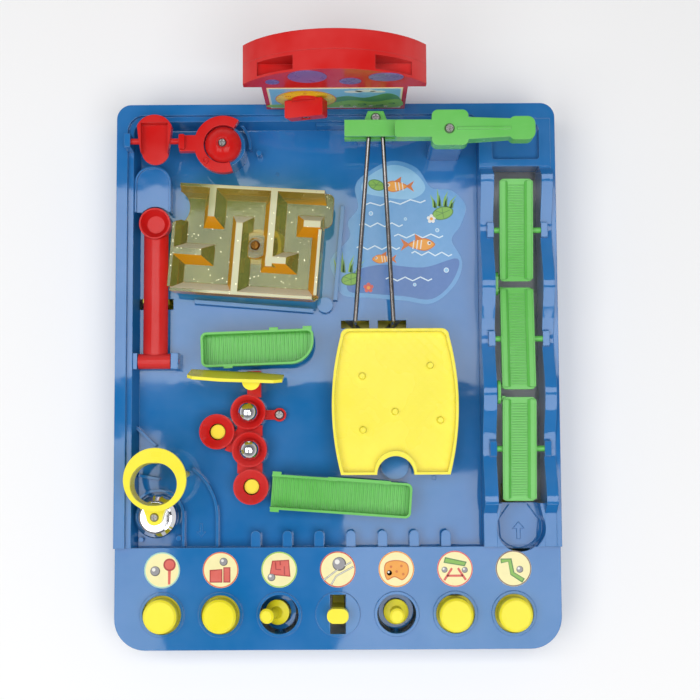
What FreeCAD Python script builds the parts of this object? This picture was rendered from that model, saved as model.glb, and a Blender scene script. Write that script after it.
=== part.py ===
import FreeCAD, Part
import Sketcher
import math
import os

# A ball obstacle course in a moulded tray, in millimetres.
# +X is to the right, +Y is to the back, +Z is up; the origin is under the middle of the tray.

doc = FreeCAD.newDocument("BallCourse")
sheet = doc.addObject("Spreadsheet::Sheet", "Sizes")

SIZES = {
    # tray
    "tray_width": 300, "tray_length": 370, "rim_height": 45, "panel_height": 38.5,
    "deck_height": 28, "skin": 2.2, "back_corner": 10, "front_corner": 21,
    "panel_depth": 68, "rim_band": 7.5, "rim_ledge": 3, "wall_slope": 3.5,
    "field_corner": 8, "rim_drop": 3, "rib_count": 7, "rib_step": 2, "rib_width": 6.5, "rib_depth": 11,
    "rib_first": 55.3, "rib_pitch": 21.4,
    # channel on the right
    "channel_width": 32, "channel_wall": 9, "channel_front": 97, "channel_back": 141,
    "outer_wall": 11, "wave_height": 10, "wave_inset": 3.2, "start_radius": 16.3, "start_floor": 29,
    "basin_depth": 26, "basin_floor": 40, "lip_depth": 5,
    # panel
    "hole_pitch": 39.35, "hole_radius": 13, "hole_row": 23.5, "hole_collar": 2, "collar_rise": 1,
    "icon_row": 53.2, "icon_radius": 12, "paper": 0.3,
    # buttons and levers
    "button_radius": 11.2, "button_top": 50, "cap_skin": 1.6, "stem_radius": 4,
    "lever_width": 8, "lever_thick": 4.5, "pivot_radius": 2, "ear_thick": 2.5,
    "play": 0.3, "bore_play": 0.06, "side_play": 0.4, "pad_height": 14.5,
    "lever_one_pivot": -90, "lever_two_pivot": -112, "lever_seven_pivot": -115,
    "lever_pivot_height": 10, "crank_pivot": -145, "crank_pivot_height": 26,
    "crank_arm": 16.5, "crank_drop": 22.2, "crank_nose": 3, "crank_turn": 25.1,
    "ear_half": 4.5, "flange": 3.4, "flange_thick": 1.5, "cap_bottom": 34, "stem_tip": 2.2,
    "leg_depth": 24, "leg_arm": 30, "nose_arm": 33,
    # ball
    "ball_radius": 7.25,
    # catapult
    "catapult_x": -124.2, "catapult_pivot": 9, "catapult_height": 36, "catapult_reach": 94.4,
    "beam_arch": 9.6,
    "beam_width": 16.8, "cup_radius": 10.7, "cup_floor_radius": 6, "cup_top": 42,
    "hub_radius": 5.25, "hub_half_width": 11, "trunnion": 5, "finger_y": 51, "finger_thick": 3,
    "finger_swing": 4, "finger_half": 8.5, "slot_x": -124.7, "slot_half": 11.7, "step_x": -126,
    "step_half": 12.4, "step_top": 40,
    # popper cups
    "popper_x": -60.3, "popper_y": -51.3, "popper_radius": 11.9, "popper_hole": 5.6, "popper_seat": 36,
    "popper_lip": 41,
    "popper_neck": 17, "sheet_behind": 27.8, "sheet_thick": 2.2, "boss_radius": 6,
    "pin_radius": 5, "pin_top": 32.8, "plate_bottom": 11, "plate_thick": 2.5,
    # joysticks and tilting platforms
    "stick_height": 20, "stick_leg": 15, "stick_top": 50, "stick_radius": 3.2, "tip_radius": 5,
    "tie_height": 5, "tie_thick": 3, "tie_width": 10, "tie_hole": 3.7, "joint_ball": 2.8,
    "ring_outer": 12, "ring_inner": 8.5, "ring_thick": 6, "cross_pin": 1.6, "hub_half": 6,
    "lean": 16, "stick_gap": 1.2, "post_gap": 0.4, "post_thick": 3, "stem_opening": 8, "stem_rod": 2.4,
    "carriage_row": -90, "carriage_half": 9, "guide_rod": 2, "guide_height": 11.5, "guide_span": 21,
    "maze_x": -53.7, "maze_y": 86.4, "maze_pivot": 40, "maze_yaw": -4.8, "maze_lean": -6.78,
    "maze_left": -56, "maze_right": 46, "maze_front": -35.5, "maze_back": 38.3,
    "maze_wall": 12, "maze_floor": 2, "maze_lift": 5, "ridge_flank": 5.2,
    "board_x": 39.1, "board_y": -20, "board_pivot": 38, "board_half_width": 36.5,
    "board_bulge": 6, "board_front": -48.5, "board_back": 49.5, "board_floor": 2, "board_rim": 6,
    "board_lift": 5, "notch_radius": 12.4,
    # slider and rails
    "slider_travel": 7, "slider_half": 4, "slider_bottom": 8, "slider_thick": 3, "slot_width": 10.4,
    "rail_radius": 1.5, "rail_pivot_y": 158.5,
    "rail_high": 69, "rail_low": 56, "rail_end_y": 34.5, "rail_left_top": 22.4,
    "rail_right_top": 31.4, "rail_left_end": 12.6, "rail_right_end": 38.1,
    # carriage
    "carriage_left": 6, "carriage_right": 48, "carriage_front": 155, "carriage_back": 166,
    "carriage_top": 75,
    # crane
    "crane_x": 74.5, "crane_y": 156.5, "crane_bottom": 76.5, "crane_top": 88, "crane_reach": 56,
    "crane_tail": 35.6, "crane_skin": 2, "shaft_radius": 3, "gear_module": 0.75, "gear_teeth": 8,
    "rack_bottom": 8, "rack_thick": 4,
    # seesaws
    "seesaw_middle": 22.5, "seesaw_pitch": 74, "seesaw_half": 34.8, "seesaw_width": 22.5,
    "seesaw_pivot": 46, "seesaw_tilt": 5.3, "seesaw_shift": 1.1,
    "seesaw_hub": 2.7,
    # bell and hoop
    "lane_height": 5, "rib_skin": 2, "lane_gap": 3, "post_radius": 4, "peg_radius": 1.8,
    "bell_inset": 28, "bell_ahead": 21, "bell_radius": 14.3, "bell_bottom": 34, "bell_height": 11,
    "bell_flat": 10.5,
    "bell_skin": 1.2,
    "hoop_radius": 20.7, "hoop_taper": 2, "hoop_hole": 13.2, "hoop_hole_shift": 3, "hoop_bottom": 54,
    "hoop_top": 68, "hoop_behind": 25.5, "hoop_leg": 2.2, "tab_radius": 5.5, "tab_thick": 2.5,
    "lane_sweep": 150, "lane_pitch": 23, "screw_hole": 1.3,
    # chutes
    "chute_width": 23.5, "chute_skin": 1.6, "chute_depth": 11,
    "lower_chute_x": 2.6, "lower_chute_y": -82.8, "lower_chute_length": 94.6,
    "lower_chute_yaw": -4.2, "lower_chute_bottom": 35,
    "upper_chute_x": -53.4, "upper_chute_y": 17, "upper_chute_length": 76,
    "upper_chute_yaw": 2, "upper_chute_bottom": 39,
    # corner chute and its collar
    "dome_inset": 73.7, "dome_y": 154.8, "dome_radius": 12.3, "dome_bottom": 50, "dome_height": 11,
    "collar_outer": 19.5, "collar_inner": 13, "collar_thick": 6,
    "tip_inset": 27.7, "tip_y": 157, "tip_height": 55, "tip_width": 21, "tip_gap": 5.6, "tip_grip": 3,
    # timer
    "timer_front": 181.5, "timer_depth": 25.6, "timer_body_half": 47.2, "timer_cap_half": 58.8,
    "timer_eave": 98, "timer_shoulder": 104, "timer_top": 137, "timer_skin": 2.2,
    "notch_near": 25.6, "notch_far": 48.7, "notch_floor": 113.5, "hook_x": 34,
    "dial_x": -19.5, "dial_height": 71, "dial_radius": 20, "knob_length": 27, "knob_depth": 13,
}


class Size:
    """A value and the text that binds an object to it."""

    def __init__(self, text, value):
        self.text = text
        self.value = value

    def __add__(self, other):
        other = as_size(other)
        return Size("(%s + %s)" % (self.text, other.text), self.value + other.value)

    def __sub__(self, other):
        other = as_size(other)
        return Size("(%s - %s)" % (self.text, other.text), self.value - other.value)

    def __mul__(self, other):
        other = as_size(other)
        return Size("(%s * %s)" % (self.text, other.text), self.value * other.value)

    def __truediv__(self, other):
        other = as_size(other)
        return Size("(%s / %s)" % (self.text, other.text), self.value / other.value)

    def __radd__(self, other):
        return as_size(other) + self

    def __rsub__(self, other):
        return as_size(other) - self

    def __rmul__(self, other):
        return as_size(other) * self

    def __neg__(self):
        return as_size(0) - self

    def __float__(self):
        return float(self.value)


def as_size(value):
    if isinstance(value, Size):
        return value
    return Size("(%.6f)" % value, float(value))


def sine(angle):
    angle = as_size(angle)
    return Size("sin(%s)" % angle.text, math.sin(math.radians(angle.value)))


def cosine(angle):
    angle = as_size(angle)
    return Size("cos(%s)" % angle.text, math.cos(math.radians(angle.value)))


class Named:
    """The sheet's sizes as attributes."""


s = Named()
for row, (alias, value) in enumerate(SIZES.items(), start=1):
    sheet.set("A%d" % row, alias.replace("_", " "))
    sheet.set("B%d" % row, str(value))
    sheet.setAlias("B%d" % row, alias)
    setattr(s, alias, Size("Sizes.%s" % alias, float(value)))
doc.recompute()


# Ways to make shapes

TURNS = {
    "Z": FreeCAD.Rotation(),
    "X": FreeCAD.Rotation(FreeCAD.Vector(0, 1, 0), 90),
    "Y": FreeCAD.Rotation(FreeCAD.Vector(1, 0, 0), -90),
}
PLANES = {"Z": "XY_Plane", "X": "YZ_Plane", "Y": "XZ_Plane"}


def bind(obj, prop, value):
    value = as_size(value)
    obj.setExpression(prop, value.text)


def put(obj, at, rotation=None):
    at = [as_size(v) for v in at]
    turn = rotation or FreeCAD.Rotation()
    obj.Placement = FreeCAD.Placement(FreeCAD.Vector(*[v.value for v in at]), turn)
    for axis, value in zip("xyz", at):
        bind(obj, "Placement.Base." + axis, value)
    return obj


def box(x, y, z):
    """A block between two ends along each axis."""
    obj = doc.addObject("Part::Box", "Block")
    for prop, ends in (("Length", x), ("Width", y), ("Height", z)):
        bind(obj, prop, as_size(ends[1]) - ends[0])
    return put(obj, (x[0], y[0], z[0]))


def rod(radius, at, length, way="Z"):
    obj = doc.addObject("Part::Cylinder", "Rod")
    bind(obj, "Radius", radius)
    bind(obj, "Height", length)
    return put(obj, at, TURNS[way])


def cone(low, high, at, length, way="Z"):
    obj = doc.addObject("Part::Cone", "Cone")
    bind(obj, "Radius1", low)
    bind(obj, "Radius2", high)
    bind(obj, "Height", length)
    return put(obj, at, TURNS[way])


def ball(radius, at):
    obj = doc.addObject("Part::Sphere", "Ball")
    bind(obj, "Radius", radius)
    return put(obj, at)


def held(*shapes):
    """Shapes kept apart where they are, so that they can be placed or cut out as a whole."""
    obj = doc.addObject("Part::Compound", "Held")
    obj.Links = list(shapes)
    return obj


def fuse(*shapes):
    if len(shapes) == 1:
        return held(shapes[0])
    obj = doc.addObject("Part::MultiFuse", "Union")
    obj.Shapes = list(shapes)
    obj.Refine = True
    return obj


def cut(base, *tools):
    """A shape with each of the tools taken away in turn."""
    for tool in tools:
        obj = doc.addObject("Part::Cut", "Cut")
        obj.Base = base
        obj.Tool = tool
        obj.Refine = tool is tools[-1]
        base = obj
    return base


def common(one, other):
    obj = doc.addObject("Part::MultiCommon", "Overlap")
    obj.Shapes = [one, other]
    return obj


def ring(outer, inner, at, length, way="Z"):
    return cut(rod(outer, at, length, way), rod(inner, at, length, way))


def sketch_on(body, way, offset):
    sketch = body.newObject("Sketcher::SketchObject", "Profile")
    plane = [f for f in body.Origin.OriginFeatures if f.Role == PLANES[way]][0]
    sketch.AttachmentSupport = [(plane, "")]
    sketch.MapMode = "FlatFace"
    if as_size(offset).text != as_size(0).text:
        bind(sketch, "AttachmentOffset.Base.z", offset)
    return sketch


def fix(sketch, kind, geo, point, value):
    value = as_size(value)
    index = sketch.addConstraint(Sketcher.Constraint(kind, -1, 1, geo, point, value.value))
    bind(sketch, "Constraints[%d]" % index, value)


def outline(sketch, points):
    """A closed run of straight lines with every corner set from the origin."""
    points = [(as_size(a), as_size(b)) for a, b in points]
    ends = points[1:] + points[:1]
    for start, end in zip(points, ends):
        line = [FreeCAD.Vector(p[0].value, p[1].value, 0) for p in (start, end)]
        sketch.addGeometry(Part.LineSegment(*line))
    count = len(points)
    for i in range(count):
        sketch.addConstraint(Sketcher.Constraint("Coincident", i, 2, (i + 1) % count, 1))
    for i, point in enumerate(points):
        fix(sketch, "DistanceX", i, 1, point[0])
        fix(sketch, "DistanceY", i, 1, point[1])


def pad(body, sketch, length):
    feature = body.newObject("PartDesign::Pad", "Pad")
    feature.Profile = sketch
    bind(feature, "Length", length)
    return feature


def prism(points, ends, way="Z"):
    """A straight-sided profile drawn across one axis and padded along it between two ends."""
    body = doc.addObject("PartDesign::Body", "Profiled")
    start = -as_size(ends[1]) if way == "Y" else ends[0]
    sketch = sketch_on(body, way, start)
    outline(sketch, points)
    pad(body, sketch, as_size(ends[1]) - ends[0])
    return body


def slab(x, y, z, corners):
    """A plate with rounded corners: front left, front right, back right, back left."""
    body = doc.addObject("PartDesign::Body", "Slab")
    sketch = sketch_on(body, "Z", z[0])
    x = [as_size(v) for v in x]
    y = [as_size(v) for v in y]
    spots = [(x[0], y[0]), (x[1], y[0]), (x[1], y[1]), (x[0], y[1])]
    along = [(1, 0), (0, 1), (-1, 0), (0, -1)]
    radii = [as_size(r) for r in corners]
    lines = []
    arcs = []
    for i in range(4):
        a, b = spots[i], spots[(i + 1) % 4]
        ra, rb = radii[i].value, radii[(i + 1) % 4].value
        dx, dy = along[i]
        start = FreeCAD.Vector(a[0].value + dx * ra, a[1].value + dy * ra, 0)
        end = FreeCAD.Vector(b[0].value - dx * rb, b[1].value - dy * rb, 0)
        lines.append(sketch.addGeometry(Part.LineSegment(start, end)))
        sketch.addConstraint(Sketcher.Constraint("Horizontal" if i % 2 == 0 else "Vertical", lines[i]))
    for i in range(4):
        here = radii[i].value
        before = lines[i - 1]
        if here == 0:
            sketch.addConstraint(Sketcher.Constraint("Coincident", before, 2, lines[i], 1))
            continue
        turn = math.radians(180 + 90 * i)
        inward = [(1, 1), (-1, 1), (-1, -1), (1, -1)][i]
        middle = FreeCAD.Vector(
            spots[i][0].value + inward[0] * here, spots[i][1].value + inward[1] * here, 0)
        circle = Part.Circle(middle, FreeCAD.Vector(0, 0, 1), here)
        arc = sketch.addGeometry(Part.ArcOfCircle(circle, turn, turn + math.pi / 2))
        sketch.addConstraint(Sketcher.Constraint("Tangent", before, 2, arc, 1))
        sketch.addConstraint(Sketcher.Constraint("Tangent", arc, 2, lines[i], 1))
        index = sketch.addConstraint(Sketcher.Constraint("Radius", arc, here))
        bind(sketch, "Constraints[%d]" % index, radii[i])
        arcs.append(arc)
    fix(sketch, "DistanceY", lines[0], 1, y[0])
    fix(sketch, "DistanceX", lines[1], 1, x[1])
    fix(sketch, "DistanceY", lines[2], 1, y[1])
    fix(sketch, "DistanceX", lines[3], 1, x[0])
    pad(body, sketch, as_size(z[1]) - z[0])
    return body


def turned(points, at=(0, 0, 0), way="Z"):
    """A profile of radius and height revolved about its own axis."""
    body = doc.addObject("PartDesign::Body", "Turned")
    sketch = sketch_on(body, "Y", 0)
    outline(sketch, points)
    feature = body.newObject("PartDesign::Revolution", "Revolution")
    feature.Profile = sketch
    feature.ReferenceAxis = (sketch, ["V_Axis"])
    feature.Angle = 360
    return put(body, at, TURNS[way])


def plain(shape):
    """A shape that no listed feature makes, drawn from the sheet's sizes."""
    obj = doc.addObject("Part::Feature", "Drawn")
    obj.Shape = shape
    return obj


def face_from(edges):
    return Part.Face(Part.Wire(edges))


def line(a, b):
    return Part.LineSegment(FreeCAD.Vector(*a), FreeCAD.Vector(*b)).toShape()


def arc(a, middle, b):
    return Part.Arc(FreeCAD.Vector(*a), FreeCAD.Vector(*middle), FreeCAD.Vector(*b)).toShape()


NODES = {}


def node(name, obj):
    obj.Label = name
    NODES[name] = obj
    return obj


# Places that several pieces share

half_width = s.tray_width / 2
half_length = s.tray_length / 2
deck_under = s.deck_height - s.skin
panel_under = s.panel_height - s.skin
panel_back = s.panel_depth - half_length
button_y = s.hole_row - half_length
icon_y = s.icon_row - half_length
hole_xs = [(i - 3) * s.hole_pitch for i in range(7)]
inside = half_width - s.skin
inside_length = half_length - s.skin
field_left = s.rim_band + s.rim_ledge - half_width
field_back = half_length - s.rim_band - s.rim_ledge
channel_right = half_width - s.outer_wall
channel_left = channel_right - s.channel_width
field_right = channel_left - s.channel_wall
channel_x = (channel_left + channel_right) / 2
channel_start = s.channel_front - half_length
seesaw_x = channel_x - s.seesaw_shift
bell_x = s.bell_inset - half_width
bell_y = panel_back + s.bell_ahead
hoop_x, hoop_y = bell_x + 3, bell_y + s.hoop_behind
dome_x = s.dome_inset - half_width
tip_x = s.tip_inset - half_width
seesaw_ys = [s.seesaw_middle + s.seesaw_pitch * k for k in (1, 0, -1)]
crank_x = hole_xs[5]
rail_ends = {"left": (s.rail_left_top, s.rail_left_end), "right": (s.rail_right_top, s.rail_right_end)}
cup_places = {
    "near": (s.popper_x + 2, s.popper_y - 25.1),
    "middle": (s.popper_x + 0.9, s.popper_y),
    "far": (s.popper_x, s.popper_y + 25.4),
    "side": (s.popper_x - 21.1, s.popper_y + 12.2),
}
pivot_bore = s.pivot_radius + s.bore_play
cup_y = s.catapult_pivot + s.catapult_reach


# Tray

def ears(x, half, y, height, top):
    """Two hanging brackets, each with a bore, on either side of a swinging piece."""
    near = half + s.side_play
    far = near + s.ear_thick
    plates = []
    for low, high in ((x - far, x - near), (x + near, x + far)):
        plate = box((low, high), (y - s.ear_half, y + s.ear_half), (height - s.ear_half, top))
        plates.append(cut(plate, rod(pivot_bore, (low - 1, y, height), s.ear_thick + 2, "X")))
    return plates


def wave_wall(low, high):
    """A channel wall whose top rises between the seesaws and dips at each pivot."""
    start, end = float(panel_back), float(s.channel_back + s.lip_depth)
    base, wave = float(s.rim_height), float(s.wave_height)
    middle, pitch = float(s.seesaw_middle), float(s.seesaw_pitch)
    first, last = middle - 1.5 * pitch, middle + 1.5 * pitch
    tops = []
    for step in range(49):
        y = first + (last - first) * step / 48
        rise = wave * (1 + math.cos(2 * math.pi * (y - middle) / pitch + math.pi)) / 2
        tops.append(FreeCAD.Vector(float(low), y, base + rise))
    x = float(low)
    curve = Part.BSplineCurve()
    curve.interpolate(tops)
    crest = base + wave
    ramp = 6
    front = [(x, first - ramp, base), (x, start, base), (x, start, float(s.deck_height))]
    back = [(x, end, float(s.deck_height)), (x, end, base), (x, last + ramp, base)]
    points = front + back
    edges = [line(tuple(tops[0]), points[0])]
    edges += [line(points[i], points[i + 1]) for i in range(5)]
    edges += [line(points[5], tuple(tops[-1])), curve.toShape()]
    face = Part.Face(Part.Wire(Part.__sortEdges__(edges)))
    return plain(face.extrude(FreeCAD.Vector(float(high) - x, 0, 0)))


def field_pocket():
    """The recess of the play deck, with sides that lean in towards the floor."""
    slope = float(s.wall_slope)
    loops = []
    for inset, height in ((slope, float(s.deck_height)), (0, float(s.rim_height) + 1)):
        x0, x1 = float(field_left) + inset, float(field_right)
        y0, y1 = float(panel_back), float(field_back) - inset
        r = float(s.field_corner)
        k = r * (1 - math.sqrt(0.5))
        loops.append(Part.Wire([
            line((x0, y0, height), (x1, y0, height)),
            line((x1, y0, height), (x1, y1 - r, height)),
            arc((x1, y1 - r, height), (x1 - k, y1 - k, height), (x1 - r, y1, height)),
            line((x1 - r, y1, height), (x0 + r, y1, height)),
            arc((x0 + r, y1, height), (x0 + k, y1 - k, height), (x0, y1 - r, height)),
            line((x0, y1 - r, height), (x0, y0, height)),
        ]))
    return plain(Part.makeLoft(loops, True, True))


def arc_rib(x, y, radius, thick, first, last, low, high):
    """An upright rib that follows part of a circle."""
    x, y, radius, thick, first, last, low, high = [float(v)
                                                   for v in (x, y, radius, thick, first, last, low, high)]

    def at(r, angle):
        a = math.radians(angle)
        return (x + r * math.cos(a), y + r * math.sin(a), low)
    outer, inner, middle = radius + thick / 2, radius - thick / 2, (first + last) / 2
    face = face_from([
        arc(at(outer, first), at(outer, middle), at(outer, last)),
        line(at(outer, last), at(inner, last)),
        arc(at(inner, last), at(inner, middle), at(inner, first)),
        line(at(inner, first), at(outer, first)),
    ])
    return plain(face.extrude(FreeCAD.Vector(0, 0, high - low)))


outer = [
    slab((-half_width, half_width), (-half_length, half_length), (0, s.panel_height),
         (s.front_corner, s.front_corner, s.back_corner, s.back_corner)),
    slab((-half_width, half_width), (panel_back, half_length), (s.deck_height, s.rim_height),
         (0, 0, s.back_corner, s.back_corner)),
    wave_wall(field_right, channel_left),
    wave_wall(channel_right, half_width - s.wave_inset),
]

# raised collars round the panel holes
for x in hole_xs:
    outer.append(rod(s.hole_radius + s.hole_collar, (x, button_y, panel_under), s.skin + s.collar_rise))

rim_inner = s.rim_height - s.rim_drop
under_rim = rim_inner - s.skin
deep = [
    # under the deck
    slab((-inside, inside), (-inside_length, inside_length), (-1, deck_under),
         (s.front_corner - s.skin, s.front_corner - s.skin, s.back_corner - s.skin,
          s.back_corner - s.skin)),
]
upper = [
    # under the panel, under the rim and inside the channel's walls
    slab((-inside, inside), (-inside_length, panel_back - s.skin), (deck_under - 1, panel_under),
         (s.front_corner - s.skin, s.front_corner - s.skin, 0, 0)),
    box((-inside, field_left - s.skin), (panel_back + s.skin, inside_length - s.back_corner),
        (deck_under - 1, under_rim)),
    box((s.back_corner - inside, inside - s.back_corner), (field_back + s.skin, inside_length),
        (deck_under - 1, under_rim)),
    box((field_right + s.skin, channel_left - s.skin), (channel_start, s.channel_back),
        (deck_under - 1, s.rim_height - s.skin)),
    box((channel_right + s.skin, inside - s.wave_inset), (channel_start, s.channel_back),
        (deck_under - 1, s.rim_height - s.skin)),
    # under the basin
    box((field_right + s.skin, channel_right - s.skin), (s.channel_back + s.skin, field_back),
        (deck_under - 1, s.basin_floor - s.skin)),
]
basin_front = s.channel_back + s.lip_depth
main = [
    # the recess of the play deck, the channel and the basin behind it
    field_pocket(),
    box((channel_left, channel_right), (channel_start, s.channel_back), (-1, s.rim_height + 20)),
    slab((channel_left, channel_right), (basin_front, basin_front + s.basin_depth),
         (s.basin_floor, s.rim_height + 20), (2, 2, 6, 6)),
]
ledges = [
    # the ledge inside the rim and the start pocket
    slab((s.rim_band - half_width, field_right), (panel_back, half_length - s.rim_band),
         (rim_inner, s.rim_height + 1), (0, 0, s.field_corner, s.field_corner + s.rim_ledge)),
    rod(s.start_radius, (channel_x, channel_start - s.start_radius, s.start_floor), 40),
]

# openings in the deck
holes = [
    # the way from the start pocket into the channel
    prism([(channel_x - s.start_radius, channel_start - s.start_radius),
           (channel_x + s.start_radius, channel_start - s.start_radius),
           (channel_x + s.start_radius - 4, channel_start + 1),
           (channel_x - s.start_radius + 4, channel_start + 1)],
          (s.start_floor, s.rim_height + 20)),
    box((s.slot_x - s.slot_half, s.slot_x + s.slot_half),
        (s.finger_y - s.finger_thick / 2 - s.finger_swing, s.finger_y + s.finger_thick / 2 + s.play),
        (deck_under - 1, s.deck_height + 1)),
    rod(s.stem_opening, (s.maze_x, s.maze_y, deck_under - 1), s.skin + 2),
    rod(s.stem_opening, (s.board_x, s.board_y, deck_under - 1), s.skin + 2),
]
for x, y in cup_places.values():
    holes.append(rod(s.popper_hole, (x, y, deck_under - 1), s.skin + 2))
for top, end in rail_ends.values():
    reach = s.slider_travel + s.rail_radius + s.play * 4
    side = s.rail_radius + s.play * 4
    holes.append(box((end - reach, end + reach), (s.rail_end_y - side, s.rail_end_y + side),
                     (deck_under - 1, s.deck_height + 1)))

# openings in the panel
for x in hole_xs:
    if x is hole_xs[3]:
        holes.append(box((x - s.slot_width / 2, x + s.slot_width / 2),
                         (button_y - s.hole_radius, button_y + s.hole_radius),
                         (deck_under, s.panel_height + 1)))
    else:
        holes.append(rod(s.hole_radius, (x, button_y, deck_under), s.panel_height))

shell = cut(fuse(*outer), *[held(*group) for group in (deep, upper, main, ledges, holes)])

# pieces that stand on the deck or hang under it
fittings = []
# ribs along the front of the deck
for i in range(int(float(s.rib_count))):
    x = s.rib_pitch * i - s.rib_first
    back = panel_back + s.rib_depth - s.rib_width / 2
    top = s.panel_height - s.rib_step
    fittings.append(box((x - s.rib_width / 2, x + s.rib_width / 2), (panel_back, back),
                        (s.deck_height, top)))
    fittings.append(rod(s.rib_width / 2, (x, back, s.deck_height), top - s.deck_height))

rib_top = s.deck_height + s.lane_height
rib_foot = s.deck_height
hanger_right = tip_x - s.tip_width / 2 - s.tip_gap
hanger_y = (s.tip_y - s.ear_half, s.tip_y + s.ear_half)
hanger_top = s.tip_height + s.ear_half
lane = s.bell_radius + s.lane_gap
lane_far = lane + s.lane_pitch


def upright(a, b, thick, low, high):
    """An upright rib between two points of the deck."""
    ax, ay, bx, by = [float(v) for v in (*a, *b)]
    length = math.hypot(bx - ax, by - ay)
    side_x, side_y = (ay - by) / length * float(thick) / 2, (bx - ax) / length * float(thick) / 2
    corners = [(ax + side_x, ay + side_y), (bx + side_x, by + side_y),
               (bx - side_x, by - side_y), (ax - side_x, ay - side_y)]
    return prism(corners, (low, high))


fittings += [
    # lane walls at the front left
    arc_rib(bell_x, bell_y, lane, s.rib_skin, 0, s.lane_sweep, rib_foot, rib_top),
    box((bell_x + lane - s.rib_skin / 2, bell_x + lane + s.rib_skin / 2), (panel_back, bell_y),
        (rib_foot, rib_top)),
    arc_rib(bell_x, bell_y - 1, lane_far, s.rib_skin, 0, 55, rib_foot, rib_top),
    box((bell_x + lane_far - s.rib_skin / 2, bell_x + lane_far + s.rib_skin / 2), (panel_back, bell_y - 1),
        (rib_foot, rib_top)),
    # bell post, two pegs beside it, and guide ribs behind it
    rod(s.post_radius, (bell_x, bell_y, rib_foot), s.bell_bottom - rib_foot),
    rod(s.peg_radius, (bell_x - 11.5, bell_y - 15.8, rib_foot), 4),
    rod(s.peg_radius, (bell_x + 14, bell_y - 15, rib_foot), 4),
    upright((bell_x - 17.3, bell_y + 62.3), (bell_x - 1.7, bell_y + 47.5), s.rib_skin, rib_foot, rib_top),
    upright((bell_x - 13.4, bell_y + 27.5), (bell_x + 1, bell_y + 25.1), s.rib_skin, rib_foot, rib_top),
    # rib and peg by the corner dome, and its seat
    arc_rib(dome_x - 5, s.dome_y + 2.5, 22, s.rib_skin, -4, 56, rib_foot, rib_top + 3),
    rod(s.peg_radius, (dome_x + 23, s.dome_y - 1.8, rib_foot), 9),
    rod(s.collar_inner + 1.6, (dome_x, s.dome_y, rib_foot), s.dome_bottom - rib_foot),
    # hanger of the tipping chute, standing on the left ledge
    cut(fuse(box((field_left, hanger_right), hanger_y, (s.deck_height, hanger_top)),
             box((s.rim_band - half_width, hanger_right), hanger_y, (rim_inner, hanger_top))),
        rod(pivot_bore, (hanger_right - s.tip_grip, s.tip_y, s.tip_height), s.tip_grip + 1, "X")),
    # ledge under the timer
    box((-13.5, 19), (field_back - 3.5, field_back + 1), (s.deck_height, rim_inner - 2)),
    # trunnions of the catapult
    *[box((low, low + s.trunnion), (s.catapult_pivot - 5.5, s.catapult_pivot + 5.5),
          (s.deck_height, s.catapult_height + 5)) for low in
      (s.catapult_x - s.hub_half_width - s.side_play - s.trunnion,
       s.catapult_x + s.hub_half_width + s.side_play)],
    # landing step behind the catapult's cup
    cut(slab((s.step_x - s.step_half, s.step_x + s.step_half), (cup_y + 8, cup_y + 40),
             (s.deck_height, s.step_top), (1, 1, s.step_half - 1, s.step_half - 1)),
        slab((s.step_x - s.step_half + 1.4, s.step_x + s.step_half - 1.4), (cup_y, cup_y + 38.6),
             (s.step_top - 1.2, s.step_top + 1), (1, 1, s.step_half - 2.6, s.step_half - 2.6)),
        rod(s.cup_radius + 1.2, (s.catapult_x, cup_y, deck_under - 1), 40)),
    # landing step under the board's notch
    slab((s.board_x - 9.4, s.board_x + 9.4), (s.board_y - 52, s.board_y - 36),
         (s.deck_height, s.deck_height + 8), (9, 9, 1, 1)),
]

# holders of the seesaws' pins, in the channel's walls
holders = []
pin_room = s.hub_half_width + s.trunnion + 1.2
bores = [rod(pivot_bore, (s.catapult_x - pin_room, s.catapult_pivot, s.catapult_height), pin_room * 2, "X")]


def button_cap(name, x, stem_bottom, notch=False):
    """A hollow round cap with a flange that stays under the panel and a stem that pushes down."""
    outer = s.button_radius
    inner = s.button_radius - s.cap_skin
    roof = s.button_top - s.cap_skin
    rim = s.cap_bottom + s.flange_thick
    cap = fuse(
        turned([(0, roof), (inner, roof), (inner, s.cap_bottom), (outer + s.flange, s.cap_bottom),
                (outer + s.flange, rim), (outer, rim), (outer, s.button_top - 1.5),
                (outer - 1.5, s.button_top), (0, s.button_top)], (x, button_y, 0)),
        turned([(0, stem_bottom), (s.stem_tip, stem_bottom), (s.stem_radius, stem_bottom + 3),
                (s.stem_radius, roof + 0.5), (0, roof + 0.5)], (x, button_y, 0)))
    if notch:
        # the flange is cut off straight beside the crank's brackets
        cap = cut(cap, box((x - 16, x + 16), (button_y + outer + s.play, button_y + 20),
                           (s.cap_bottom - 1, rim + 1)))
    return node(name, cap)


pad_top = s.pad_height
pad_front, pad_back = button_y - 5.5, button_y + 6.5


def lever_bar(x, pivot, rear, rear_top):
    """A flat bar in the depth direction that is bent at its pivot, with its cross pin."""
    half = s.lever_width / 2
    middle = s.lever_pivot_height
    thick = s.lever_thick
    top = [(pad_front, pad_top), (pad_back, pad_top), (pivot, middle + thick / 2), (rear, rear_top)]
    under = [(y, z - thick) for y, z in reversed(top)]
    reach = half + s.side_play + s.ear_thick
    return [prism(top + under, (x - half, x + half), "X"),
            rod(s.pivot_radius, (x - reach, pivot, middle), reach * 2, "X"),
            rod(s.hub_radius - 1, (x - half, pivot, middle), half * 2, "X")]


# Catapult: button, lever and throwing arm

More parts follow.
